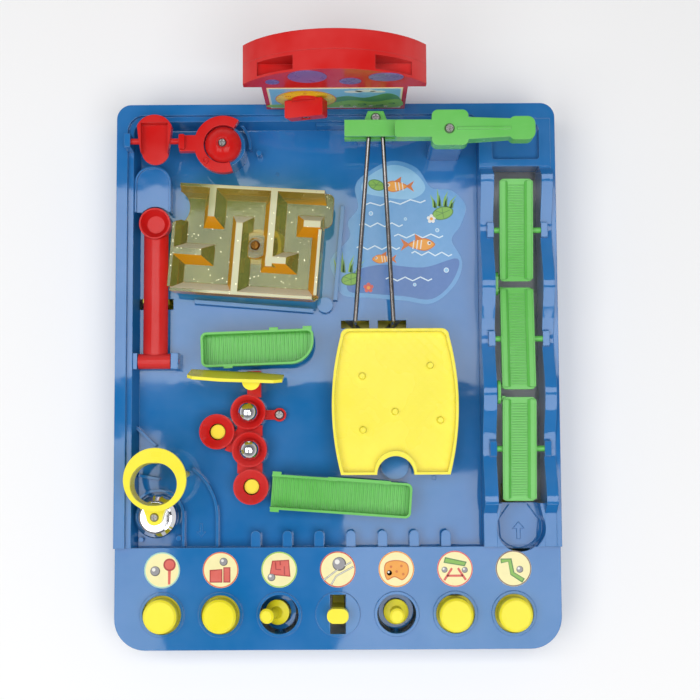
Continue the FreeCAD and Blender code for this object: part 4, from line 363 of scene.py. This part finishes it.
class Piece:
    """One object's faces, gathered in millimetres in a frame of its own, each with a material."""

    def __init__(self, name, where=None):
        self.name = name
        self.mesh = bmesh.new()
        self.where = where or Matrix()
        self.materials = []

    def index(self, material):
        if material not in self.materials:
            self.materials.append(material)
        return self.materials.index(material)

    def face(self, corners, material, smooth=False):
        try:
            made = self.mesh.faces.new(corners)
        except ValueError:
            return
        made.material_index = self.index(material)
        made.smooth = smooth

    def loops(self, rings, material, closed=True, caps=True, smooth=False):
        """A skin over rings of points, each ring with as many points."""
        rows = [[self.mesh.verts.new(self.where @ Vector(p)) for p in ring] for ring in rings]
        count = len(rows[0])
        for one, other in zip(rows, rows[1:]):
            for i in range(count if closed else count - 1):
                j = (i + 1) % count
                self.face([one[i], one[j], other[j], other[i]], material, smooth)
        if caps:
            self.face(list(reversed(rows[0])), material)
            self.face(rows[-1], material)

    def plate(self, outline, low, high, material, chamfer=0.0, foot=None):
        """A flat form with an upright edge, chamfered at its top."""
        rings = [[(x, y, low) for x, y in (foot or outline)]]
        if chamfer:
            inner = inset(outline, chamfer)
            rings.append([(x, y, high - chamfer) for x, y in outline])
            rings.append([(x, y, high) for x, y in inner])
        else:
            rings.append([(x, y, high) for x, y in outline])
        self.loops(rings, material)

    def tube(self, path, radius, material, sides=8):
        """A round bar along a path, with rounded ends."""
        points = [Vector(p) for p in path]
        rings = []
        for i, point in enumerate(points):
            ahead = (points[min(i + 1, len(points) - 1)] - points[max(i - 1, 0)]).normalized()
            side = ahead.cross(Vector((0, 0, 1)) if abs(ahead.z) < 0.9 else Vector((1, 0, 0))).normalized()
            up = side.cross(ahead)
            turn = [(math.cos(a), math.sin(a)) for a in steps_round(sides)]
            sections = [(0, 1)]
            if i == 0:
                sections.insert(0, (-0.7, 0.6))
            if i == len(points) - 1:
                sections.append((0.7, 0.6))
            for along, share in sections:
                centre = point + ahead * radius * along
                rings.append([centre + (side * c + up * s) * radius * share for c, s in turn])
        self.loops(rings, material, smooth=True)

    def turned(self, profile, at, material, sides=40, way=None):
        """A profile of radius and height turned about an upright axis."""
        way = way or Matrix()
        rings = []
        for radius, height in profile:
            ring = [(radius * math.cos(a), radius * math.sin(a), height) for a in steps_round(sides)]
            rings.append([Vector(at) + way @ Vector(p) for p in ring])
        self.loops(rings, material, smooth=True)

    def add_mesh(self, mesh, place, material):
        """Another mesh's faces, such as a digit's."""
        made = [self.mesh.verts.new(self.where @ (place @ v.co)) for v in mesh.vertices]
        for polygon in mesh.polygons:
            self.face([made[i] for i in polygon.vertices], material)

    def finish(self, body):
        data = bpy.data.meshes.new(self.name)
        for vertex in self.mesh.verts:
            vertex.co *= MM
        bmesh.ops.recalc_face_normals(self.mesh, faces=self.mesh.faces)
        self.mesh.to_mesh(data)
        self.mesh.free()
        for material in self.materials:
            data.materials.append(material)
        made = bpy.data.objects.new(self.name, data)
        bpy.context.scene.collection.objects.link(made)
        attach(made, body)
        return made


def steps_round(count):
    return [2 * math.pi * i / count for i in range(count)]


def disc(x, y, radius, sides=40):
    return [(x + radius * math.cos(a), y + radius * math.sin(a)) for a in steps_round(sides)]


def oval(x, y, wide, tall, turn=0, sides=40):
    c, s = math.cos(math.radians(turn)), math.sin(math.radians(turn))
    points = []
    for a in steps_round(sides):
        u, v = wide * math.cos(a), tall * math.sin(a)
        points.append((x + u * c - v * s, y + u * s + v * c))
    return points


def smoothed(points, steps=6):
    """A closed curve through a few points."""
    count = len(points)
    found = []
    for i in range(count):
        a, b, c, d = [Vector(points[(i + k) % count]) for k in (-1, 0, 1, 2)]
        for step in range(steps):
            t = step / steps
            found.append(tuple(0.5 * (2 * b + (c - a) * t + (2 * a - 5 * b + 4 * c - d) * t * t
                                      + (3 * b - a - 3 * c + d) * t ** 3)))
    return found


def inset(outline, amount):
    """An outline drawn in by an even amount."""
    points = [Vector(p) for p in outline]
    area = sum(a.x * b.y - b.x * a.y for a, b in zip(points, points[1:] + points[:1]))
    side = 1 if area > 0 else -1
    found = []
    for i, point in enumerate(points):
        before = (point - points[i - 1]).normalized()
        after = (points[(i + 1) % len(points)] - point).normalized()
        first, second = Vector((-before.y, before.x)) * side, Vector((-after.y, after.x)) * side
        both = first + second
        reach = amount * 2 / max(both.length_squared, 0.8)
        found.append(tuple(point + both * reach))
    return found


def strip(points, wide):
    """The outline of a line of even width through a few points."""
    line = [Vector(p) for p in points]
    left, right = [], []
    for i, point in enumerate(line):
        ahead = (line[min(i + 1, len(line) - 1)] - line[max(i - 1, 0)]).normalized()
        side = Vector((-ahead.y, ahead.x)) * wide / 2
        left.append(tuple(point + side))
        right.append(tuple(point - side))
    return right + list(reversed(left))


def at(x, y, z, yaw=0, tilt=0, lean=0):
    """A place with a turn about Z, then about X, then about Y."""
    return (Matrix.Translation((x, y, z)) @ Matrix.Rotation(math.radians(yaw), 4, "Z")
            @ Matrix.Rotation(math.radians(tilt), 4, "X") @ Matrix.Rotation(math.radians(lean), 4, "Y"))


# Ribbed floors of the two chutes

RIB_FORM = [(-0.75, 0.0), (-0.45, 0.26), (0.45, 0.26), (0.75, 0.0)]
RIB_SINK = 0.05
CHUTE_FLOOR = 1.6
CHUTE_HALF_WIDTH = 10.1
CHUTE_RIB_PITCH = 2.6
UPPER_CHUTE_END = 36.4
UPPER_CHUTE_CORNER = 14.5


def chute_ribs(name, where, ends, corner):
    """Ribs across a chute's floor, which ends in a quarter circle at its front right if it has a corner."""
    piece = Piece(name, where)
    count = int((ends[1] - ends[0]) / CHUTE_RIB_PITCH)
    start = UPPER_CHUTE_END - corner
    for i in range(count + 1):
        x = ends[0] + CHUTE_RIB_PITCH * i
        low, high = -CHUTE_HALF_WIDTH, CHUTE_HALF_WIDTH
        if corner and x > start:
            drop = corner - math.sqrt(max(corner ** 2 - (x - start) ** 2, 0))
            low += drop + 0.4
        rings = [[(x + u, y, CHUTE_FLOOR + h - RIB_SINK) for u, h in RIB_FORM] for y in (low, high)]
        piece.loops(rings, green)
    return piece.finish("tray")


def make_chutes():
    chute_ribs("upper_chute_ribs", at(-53.4, 17, 39, 2), (-34.5, 35.0), UPPER_CHUTE_CORNER)
    chute_ribs("lower_chute_ribs", at(2.6, -82.8, 35, -4.2), (-45.5, 44.0), 0)


# Tracks of the seesaws: sloping sides and a ribbed middle strip

SEESAW_PLACES = {1: (96.5, 5.3), 2: (22.5, -5.3), 3: (-51.5, 5.3)}
SEESAW_X = 121.9
SEESAW_PIVOT = 46
TRACK_HALF_LENGTH = 33.0
TRACK_FLOOR = 2.7
TRACK_HALF_STRIP = 5.4
TRACK_RIB_PITCH = 1.75


def make_seesaw_tracks():
    slope_top, slope_rise, slope_wall = 7.6, 4.55, 0.6
    lip_near, lip_far, lip_foot, lip_crest = 10.35, 11.25, 4.4, 5.3
    first_rib = 2 - TRACK_HALF_LENGTH
    rib = [(-0.42, TRACK_FLOOR), (-0.25, 3.3), (0.25, 3.3), (0.42, TRACK_FLOOR)]
    for number, (centre, tilt) in SEESAW_PLACES.items():
        piece = Piece("seesaw_track_%d" % number, at(SEESAW_X, centre, SEESAW_PIVOT, 0, tilt))
        for side in (-1, 1):
            foot, top = side * TRACK_HALF_STRIP, side * slope_top
            outside = top + side * slope_wall
            slope = [(foot, TRACK_FLOOR), (top, slope_rise), (outside, slope_rise), (outside, TRACK_FLOOR)]
            ends = (-TRACK_HALF_LENGTH, TRACK_HALF_LENGTH)
            piece.loops([[(x, y, z) for x, z in slope] for y in ends], green)
            lip = [(side * lip_near, lip_foot), (side * lip_near, lip_crest),
                   (side * lip_far, lip_crest), (side * lip_far, lip_foot)]
            ends = (-TRACK_HALF_LENGTH - 0.2, TRACK_HALF_LENGTH - 0.5)
            piece.loops([[(x, y, z) for x, z in lip] for y in ends], green)
        for i in range(int((TRACK_HALF_LENGTH - first_rib) / TRACK_RIB_PITCH)):
            y = first_rib + TRACK_RIB_PITCH * i
            strip_sides = (-TRACK_HALF_STRIP, TRACK_HALF_STRIP)
            piece.loops([[(x, y + u, z) for u, z in rib] for x in strip_sides], green)
        piece.finish("seesaw_%d" % number)


# Printed discs beside the controls

RING_TINTS = [colour(150, 215, 205), colour(235, 90, 40), colour(150, 205, 60), colour(215, 45, 40),
              colour(240, 140, 30), colour(225, 60, 85), colour(120, 90, 90)]
steel_print = paper("steel_print", colour(150, 148, 152))
pale_print = paper("pale_print", colour(240, 238, 232))
red_print = paper("red_print", colour(222, 92, 78))
dark_red_print = paper("dark_red_print", colour(176, 44, 40))
orange_print = paper("orange_print", colour(244, 164, 48))
dark_orange_print = paper("dark_orange_print", colour(214, 112, 26))
green_print = paper("green_print", colour(132, 186, 72))
dark_green_print = paper("dark_green_print", colour(74, 130, 58))


def printed_ball(piece, x, y, radius, base):
    piece.plate(disc(x, y, radius, 24), base, base + 0.05, ink_print)
    piece.plate(disc(x - radius * 0.05, y + radius * 0.05, radius * 0.88, 24), base, base + 0.08,
                steel_print)
    piece.plate(disc(x - radius * 0.3, y + radius * 0.3, radius * 0.36, 16), base, base + 0.11, pale_print)


def spoon_picture(piece, base):
    piece.plate([(4.0, -9.5), (5.6, -9.5), (6.0, 1.0), (4.0, 1.0)], base, base + 0.05, red_print)
    piece.plate(disc(5.0, 3.6, 4.2, 28), base, base + 0.06, dark_red_print)
    piece.plate(disc(5.0, 3.6, 3.1, 28), base, base + 0.09, red_print)
    printed_ball(piece, -4.6, -0.6, 3.3, base)


def steps_picture(piece, base):
    blocks = ([(-7.4, -8.4), (1.2, -8.4), (1.2, 0.6), (-7.4, 0.0)],
              [(1.8, -8.4), (6.6, -8.4), (6.6, 1.8), (1.8, 1.8)])
    for block in blocks:
        piece.plate(block, base, base + 0.05, dark_red_print)
        piece.plate(inset(block, 0.7), base, base + 0.08, red_print)
    printed_ball(piece, 2.0, 5.4, 2.7, base)


def maze_picture(piece, base):
    sheet = [(-6.6, -3.4), (7.6, -4.8), (6.6, 6.6), (-4.8, 6.0)]
    piece.plate(sheet, base, base + 0.05, dark_red_print)
    piece.plate(inset(sheet, 0.7), base, base + 0.08, red_print)
    for wall in ([(-2.5, 5.0), (-2.2, 0.2), (1.2, 0.0)], [(3.6, -3.4), (3.4, 2.2)],
                 [(0.6, 5.6), (0.8, 3.0)]):
        piece.plate(strip(wall, 0.9), base, base + 0.11, dark_red_print)
    printed_ball(piece, -5.2, -5.0, 2.6, base)


def rails_picture(piece, base):
    for line in ([(-9.6, -7.2), (-0.8, -0.6), (9.0, 4.8)], [(-4.6, -10.4), (-1.0, -4.4), (10.6, 1.8)]):
        piece.plate(strip(line, 1.0), base, base + 0.05, ink_print)
        piece.plate(strip(line, 0.5), base, base + 0.07, pale_print)
    printed_ball(piece, 1.0, 3.6, 4.6, base)


def board_picture(piece, base):
    shape = smoothed([(-7.0, 4.2), (0, 6.0), (7.2, 3.8), (8.2, -2.6), (4.2, -7.4), (-1.2, -5.4),
                      (-6.2, -7.2), (-8.2, -1.6)])
    piece.plate(shape, base, base + 0.05, dark_orange_print)
    piece.plate(inset(shape, 0.7), base, base + 0.08, orange_print)
    for x, y in ((-3.6, 1.6), (3.4, 2.0), (0.2, -1.6), (4.6, -3.4)):
        piece.plate(disc(x, y, 0.9, 14), base, base + 0.11, dark_orange_print)
    printed_ball(piece, -4.6, -2.6, 2.0, base)


def crane_picture(piece, base):
    for line in ([(-7.2, -7.6), (-2.0, 0.4)], [(7.2, -7.4), (2.0, 0.4)], [(-5.2, -4.6), (5.2, -4.6)]):
        piece.plate(strip(line, 1.5), base, base + 0.05, red_print)
    beam = [(-7.6, 4.0), (6.6, 1.6), (8.0, 4.6), (-6.6, 7.8)]
    piece.plate(beam, base, base + 0.07, dark_green_print)
    piece.plate(inset(beam, 0.7), base, base + 0.1, green_print)
    printed_ball(piece, -7.0, -0.6, 2.0, base)
    printed_ball(piece, 6.6, -0.8, 2.0, base)


def seesaw_picture(piece, base):
    track = strip([(-8.6, 5.0), (-2.4, 5.6), (-0.8, -3.4), (6.6, -8.2)], 3.2)
    piece.plate(track, base, base + 0.05, dark_green_print)
    piece.plate(strip([(-8.0, 5.0), (-2.6, 5.4), (-1.0, -3.2), (6.0, -7.6)], 1.9), base, base + 0.08,
                green_print)
    printed_ball(piece, 4.2, -0.6, 2.3, base)


def make_icons():
    """Seven round labels, each with a coloured ring round a small picture of what its control moves."""
    pictures = [spoon_picture, steps_picture, maze_picture, rails_picture, board_picture, crane_picture,
                seesaw_picture]
    ring_thick, ring_edge, ring_wide = 0.05, 0.1, 0.7
    for number, (x, tint, picture) in enumerate(zip(control_xs, RING_TINTS, pictures), start=1):
        piece = Piece("icon_picture_%d" % number, at(x, icon_y, panel_paper))
        edge = paper("ring_print_%d" % number, tint)
        outer = disc(0, 0, icon_radius - ring_edge, 56)
        inner = disc(0, 0, icon_radius - ring_edge - ring_wide, 56)
        rings = [[(u, v, z) for u, v in line]
                 for line, z in ((outer, 0.0), (outer, ring_thick), (inner, ring_thick), (inner, 0.0))]
        piece.loops(rings, edge, caps=False)
        picture(piece, 0.01)
        piece.finish("tray")


# Picture on the deck: a pond seen from above and from the side

water_print = paper("water_print", colour(96, 160, 214), 0.22)
deep_water_print = paper("deep_water_print", colour(58, 112, 182), 0.22)
light_water_print = paper("light_water_print", colour(140, 196, 232), 0.22)
foam_print = paper("foam_print", colour(214, 234, 246), 0.24)


def blade(piece, x, y, tall, bend, base, material):
    """One blade of grass that leans over."""
    line = [(x, y), (x + bend * 0.2, y + tall * 0.5), (x + bend, y + tall)]
    wide = 1.1
    outline = [(line[0][0] - wide, line[0][1]), (line[0][0] + wide, line[0][1]),
               (line[1][0] + wide * 0.7, line[1][1]), line[2], (line[1][0] - wide * 0.7, line[1][1])]
    piece.plate(outline, base, base + 0.03, material)


def lily(piece, x, y, wide, turn, base):
    leaf = oval(x, y, wide, wide * 0.62, turn, 30)
    piece.plate(leaf, base, base + 0.03, dark_green_print)
    piece.plate(inset(leaf, wide * 0.09), base, base + 0.05, green_print)
    for k in range(5):
        a = math.radians(turn + 20 + 60 * k)
        piece.plate(strip([(x, y), (x + wide * 0.8 * math.cos(a), y + wide * 0.5 * math.sin(a))], 0.35),
                    base, base + 0.06, dark_green_print)


def fish(piece, x, y, size, way, base):
    """A plain fish: a rounded body, a forked tail, two fins and an eye."""

    def spot(along, up):
        return (x + way * size * along, y + size * up)

    body = smoothed([spot(1, 0), spot(0.35, 0.42), spot(-0.5, 0.22), spot(-0.8, 0), spot(-0.5, -0.22),
                     spot(0.35, -0.42)])
    tail = [spot(-0.65, 0), spot(-1.3, 0.42), spot(-1.08, 0), spot(-1.3, -0.42)]
    fin = [spot(0.2, 0.36), spot(-0.35, 0.72), spot(-0.3, 0.26)]
    for shape in (tail, fin):
        piece.plate(shape, base, base + 0.03, dark_orange_print)
    piece.plate(body, base, base + 0.05, dark_orange_print)
    piece.plate(inset(body, size * 0.07), base, base + 0.07, orange_print)
    for k in range(3):
        bar = strip([spot(0.1 - 0.25 * k, 0.3), spot(0.02 - 0.25 * k, -0.3)], size * 0.07)
        piece.plate(bar, base, base + 0.09, pale_print)
    piece.plate(disc(*spot(0.6, 0.1), size * 0.13, 16), base, base + 0.09, pale_print)
    piece.plate(disc(*spot(0.63, 0.1), size * 0.07, 12), base, base + 0.11, ink_print)


def flower(piece, x, y, size, material, base):
    for k in range(5):
        a = math.radians(72 * k + 18)
        piece.plate(disc(x + size * math.cos(a), y + size * math.sin(a), size * 0.62, 14), base,
                    base + 0.04, material)
    piece.plate(disc(x, y, size * 0.55, 14), base, base + 0.07, orange_print)


def make_pond():
    """The pond on the deck: water, waves, leaves, grass, fish, flowers and bubbles."""
    outline = smoothed([(19, 139), (38, 149), (56, 144), (66, 130), (80, 128), (90, 117), (86, 103),
                        (80, 93), (87, 78), (82, 62), (66, 49), (46, 51), (22, 53), (4, 55), (-1, 66),
                        (-4, 80), (9, 95), (8, 106), (15, 116), (13, 130)], 5)
    base = deck_top - 0.05
    top = base + paper_thick
    piece = Piece("pond_picture", at(0, 0, 0))
    piece.plate(outline, base, top, water_print)
    piece.plate(smoothed([(21, 137), (38, 146), (53, 142), (62, 130), (52, 122), (30, 124), (18, 128)]),
                top, top + 0.01, light_water_print)
    piece.plate(smoothed([(10, 70), (30, 76), (60, 74), (84, 80), (80, 64), (66, 52), (46, 54), (22, 56),
                          (8, 58)]), top, top + 0.01,
                deep_water_print)
    waves = [((20, 118), (34, 121), (50, 118), (62, 121)), ((16, 104), (30, 107), (46, 104)),
             ((40, 96), (56, 99), (74, 96)),
             ((14, 88), (28, 91), (44, 88)), ((52, 84), (66, 86), (80, 83)), ((34, 66), (50, 69), (66, 66))]
    for wave in waves:
        first, last = Vector(wave[0]), Vector(wave[-1])
        line = []
        for step in range(13):
            point = first.lerp(last, step / 12)
            line.append((point.x, point.y + 1.3 * math.sin(step * math.pi / 2)))
        piece.plate(strip(line, 0.9), top, top + 0.02, foam_print)
    for x, y, wide, turn in ((74, 112, 7.5, 15), (28, 132, 6.0, -20), (10, 66, 7.0, 10)):
        lily(piece, x, y, wide, turn, top)
    for x, y, tall, bend in ((68, 116, 13, -4), (71, 117, 17, -1), (75, 117, 15, 4), (79, 116, 12, 7),
                             (0, 70, 15, -3), (4, 71, 20, 0), (9, 71, 17, 5), (14, 70, 13, 8)):
        blade(piece, x, y, tall * 0.72, bend * 0.7, top, green_print)
        blade(piece, x + 1.1, y - 0.5, tall * 0.5, bend * 0.4, top, dark_green_print)
    fish(piece, 42, 131, 9.5, -1, top)
    fish(piece, 58, 90, 10.5, 1, top)
    fish(piece, 32, 80, 7.5, -1, top)
    flower(piece, 66, 108, 2.0, pale_print, top)
    flower(piece, 22, 60, 2.2, red_print, top)
    for x, y, radius in ((24, 112, 1.5), (70, 100, 1.4), (48, 108, 1.1), (76, 72, 1.8), (54, 62, 1.2),
                         (18, 96, 1.0)):
        piece.plate(disc(x, y, radius, 18), top, top + 0.03, foam_print)
        piece.plate(disc(x, y, radius * 0.72, 18), top, top + 0.05, light_water_print)
    made = piece.finish("tray")
    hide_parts("deck_picture")


# Front of the timer: scenery, dial with plain numbers and purple spots

sky_print = paper("sky_print", colour(132, 196, 232))
hill_print = paper("hill_print", colour(150, 200, 70))
far_hill_print = paper("far_hill_print", colour(92, 158, 92))
dial_print = paper("dial_print", colour(252, 224, 40), 0.26)


def digit_mesh(text, size):
    font = bpy.data.curves.new("digit", "FONT")
    font.body = text
    font.size = size
    font.align_x = "CENTER"
    font.align_y = "CENTER"
    font.resolution_u = 3
    carrier = bpy.data.objects.new("digit", font)
    bpy.context.scene.collection.objects.link(carrier)
    bpy.context.view_layer.update()
    mesh = bpy.data.meshes.new_from_object(carrier)
    bpy.data.objects.remove(carrier)
    return mesh


def make_dial(piece, centre):
    """A round dial of sixty marks, numbered at every tenth."""
    dial_radius, rim, mark_radius, number_radius, number_size = 19.6, 0.7, 19.0, 13.6, 4.2
    marks, numbered = 60, 10
    piece.plate(disc(*centre, dial_radius + rim, 64), 0, 0.17, dark_orange_print)
    piece.plate(disc(*centre, dial_radius, 64), 0, 0.19, dial_print)
    for k in range(marks):
        a = math.pi / 2 - 2 * math.pi * k / marks
        long, wide = (2.6, 0.45) if k % 5 == 0 else (1.4, 0.25)
        ends = (mark_radius - long, mark_radius)
        line = [(centre[0] + r * math.cos(a), centre[1] + r * math.sin(a)) for r in ends]
        piece.plate(strip(line, wide), 0, 0.2, dark_red_print)
    for k in range(0, marks, numbered):
        a = math.pi / 2 - 2 * math.pi * k / marks
        spot = (centre[0] + number_radius * math.cos(a), centre[1] + number_radius * math.sin(a), 0.2)
        piece.add_mesh(digit_mesh(str(k), number_size), Matrix.Translation(spot), dark_red_print)


def make_timer_front():
    # the print's own frame: x to the right, y up, z out of the timer's front
    upright = Matrix(((1, 0, 0, 0), (0, 0, -1, timer_front), (0, 1, 0, 0), (0, 0, 0, 1)))
    piece = Piece("timer_picture", upright)
    left, right, low, high = -43.5, 43.5, 49.5, 95.5
    frame_line = [(left, low), (right, low), (right, high), (left, high)]
    piece.plate(frame_line, 0, 0.05, pale_print)
    piece.plate(inset(frame_line, 0.8), 0, 0.07, sky_print)
    piece.plate(smoothed([(-10, 62), (6, 78), (20, 74), (34, 84), (42, 76), (42, 60), (20, 58)]), 0, 0.09,
                far_hill_print)
    piece.plate(smoothed([(left + 1.5, 51), (left + 1.5, 58), (-8, 60), (10, 68), (26, 64),
                          (right - 1.5, 70), (right - 1.5, 51), (0, 50.8)]),
                0, 0.11, hill_print)
    for x, y, wide in ((12, 88, 6), (20, 90, 7), (28, 88, 5)):
        piece.plate(oval(x, y, wide, wide * 0.45), 0, 0.12, pale_print)
    for x, y, radius in ((8, 56, 2.4), (18, 58, 3.0), (30, 56, 2.6), (38, 60, 2.2)):
        piece.plate(disc(x, y, radius, 20), 0, 0.13, dark_green_print)
        piece.plate(disc(x - 0.4, y + 0.5, radius * 0.7, 20), 0, 0.15, green_print)
    for x, y in ((4, 53.5), (13, 53), (24, 54), (34, 53)):
        flower(piece, x, y, 0.9, pale_print, 0.1)
    make_dial(piece, (-19.5, 71.0))
    piece.finish("tray")
    spots = Piece("timer_spots", upright)
    for x, y, wide, tall in ((-17, 121, 12.3, 12.7), (-39.5, 110, 4.5, 5), (10, 111, 7, 6.5),
                             (32.5, 119.5, 11, 8.5)):
        spots.plate(oval(x, y, wide, tall), -0.35, 0.05, purple_print)
    spots.finish("tray")


# Raised marks moulded in the tray

def make_tray_marks():
    """A bead round the start pocket, an arrow in it and one in the basin, and three rings on the deck."""
    piece = Piece("tray_marks", at(0, 0, 0))
    start_x, start_y, floor = 123.0, -104.3, 29.0
    bead_radius, bead_high, bead_steps = 14.3, floor + 0.1, 24
    drop = []
    for k in range(bead_steps + 1):
        a = math.radians(210 + 120 * k / bead_steps)
        drop.append((start_x + bead_radius * math.cos(a), start_y + bead_radius * math.sin(a), bead_high))
    shoulder = [(6.5, -89.5), (13.4, -99.0)]
    path = [(start_x - x, y, bead_high) for x, y in shoulder] + drop
    path += [(start_x + x, y, bead_high) for x, y in reversed(shoulder)]
    piece.tube(path, 0.5, blue, 6)
    arrow = [(-1.4, -6), (1.4, -6), (1.4, 1), (4.2, 1), (0, 6), (-4.2, 1), (-1.4, 1)]
    piece.plate([(start_x + x, start_y - 2.5 + y) for x, y in arrow], floor - 0.1, floor + 0.6, blue, 0.25)
    end_x, end_y, share = -93.0, -106.0, 0.8
    turned_arrow = [(end_x + x * share, end_y - y * share) for x, y in reversed(arrow)]
    piece.plate(turned_arrow, deck_top - 0.1, deck_top + 0.5, blue, 0.2)
    for x, y, radius in ((-62.0, -6.5, 1.6), (-41.0, 140.0, 1.2), (66.0, -71.0, 1.6)):
        low, high, inner = deck_top - 0.05, deck_top + 0.15, radius - 0.35
        piece.turned([(radius, low), (radius, high), (inner, high), (inner, low)], (x, y, 0), blue, 24)
    piece.finish("tray")


# Studio

def stage_material(name, tint, camera_tint):
    """A pale surface that shows the object's shadow and looks near white to the camera."""
    g = Graph(name)
    cloud = g.noise(0.8, 2)
    toned = g.mix(g.span(cloud, 0.3, 0.7, 0, 1), tint, camera_tint)
    g.set(Base_Color=toned, Roughness=g.span(cloud, 0.3, 0.7, 0.85, 0.95))
    g.shader.inputs["Specular IOR Level"].default_value = 0.1
    return g.material


def make_floor():
    size = 3.0
    data = bpy.data.meshes.new("floor")
    corners = [(-size, -size, 0), (size, -size, 0), (size, size, 0), (-size, size, 0)]
    data.from_pydata(corners, [], [(0, 1, 2, 3)])
    floor = bpy.data.objects.new("floor", data)
    bpy.context.scene.collection.objects.link(floor)
    data.materials.append(stage_material("floor_paper", colour(252, 252, 252), colour(254, 254, 254)))
    floor.location.z = -0.0005


def lamp(name, place, target, size, power, tint=(1, 1, 1)):
    data = bpy.data.lights.new(name, "AREA")
    data.shape = "RECTANGLE"
    data.size, data.size_y = size
    data.energy = power
    data.color = tint
    made = bpy.data.objects.new(name, data)
    made.location = place
    made.rotation_euler = (Vector(target) - Vector(place)).to_track_quat("-Z", "Y").to_euler()
    bpy.context.scene.collection.objects.link(made)


def softbox(name, x_span, y_span, height, radiance):
    """A level rectangle of light over the object. Its power follows from its size and its brightness."""
    wide, deep = x_span[1] - x_span[0], y_span[1] - y_span[0]
    place = ((x_span[0] + x_span[1]) / 2, (y_span[0] + y_span[1]) / 2, height)
    lamp(name, place, (place[0], place[1], 0), (wide, deep), radiance * math.pi * wide * deep)


def make_light():
    """Three softboxes with dark gaps between them, in a room pale at the horizon and dim overhead."""
    softbox("back_box", (-1.15, 0.60), (0.07, 0.44), 1.5, 3.8)
    softbox("left_box", (-1.25, -0.33), (-1.05, -0.02), 1.5, 3.0)
    softbox("right_box", (-0.02, 0.95), (-1.05, -0.09), 1.5, 3.4)
    world = bpy.data.worlds.new("studio")
    bpy.context.scene.world = world
    world.use_nodes = True
    tree = world.node_tree
    way = tree.nodes.new("ShaderNodeTexCoord")
    split = tree.nodes.new("ShaderNodeSeparateXYZ")
    ramp = tree.nodes.new("ShaderNodeValToRGB")
    tree.links.new(way.outputs["Generated"], split.inputs[0])
    tree.links.new(split.outputs["Z"], ramp.inputs["Fac"])
    stops = ramp.color_ramp.elements
    stops[0].position, stops[0].color = 0.0, (0.95, 0.95, 0.95, 1)
    stops[1].position, stops[1].color = 0.9, (0.10, 0.10, 0.105, 1)
    middle_stop = stops.new(0.35)
    middle_stop.color = (0.42, 0.42, 0.42, 1)
    tree.links.new(ramp.outputs["Color"], tree.nodes["Background"].inputs["Color"])


def make_camera():
    """The photograph's viewpoint: above the tray, tipped a little to the back."""
    tilt, roll = 0.0788, -0.0052
    focal, width = 1260.0, 700.0
    data = bpy.data.cameras.new("camera")
    data.sensor_width = 36.0
    data.lens = data.sensor_width * focal / width
    data.clip_start, data.clip_end = 0.05, 20
    camera = bpy.data.objects.new("camera", data)
    camera.location = Vector((8.97, -51.54, 894.2)) * MM
    camera.matrix_world = (Matrix.Translation(camera.location) @ Matrix.Rotation(tilt, 4, "X")
                           @ Matrix.Rotation(roll, 4, "Z"))
    bpy.context.scene.collection.objects.link(camera)
    bpy.context.scene.camera = camera


dress_nodes()
make_chutes()
make_seesaw_tracks()
make_icons()
make_pond()
make_timer_front()
make_tray_marks()
make_floor()
make_light()
make_camera()
bpy.context.scene.view_settings.view_transform = "Standard"
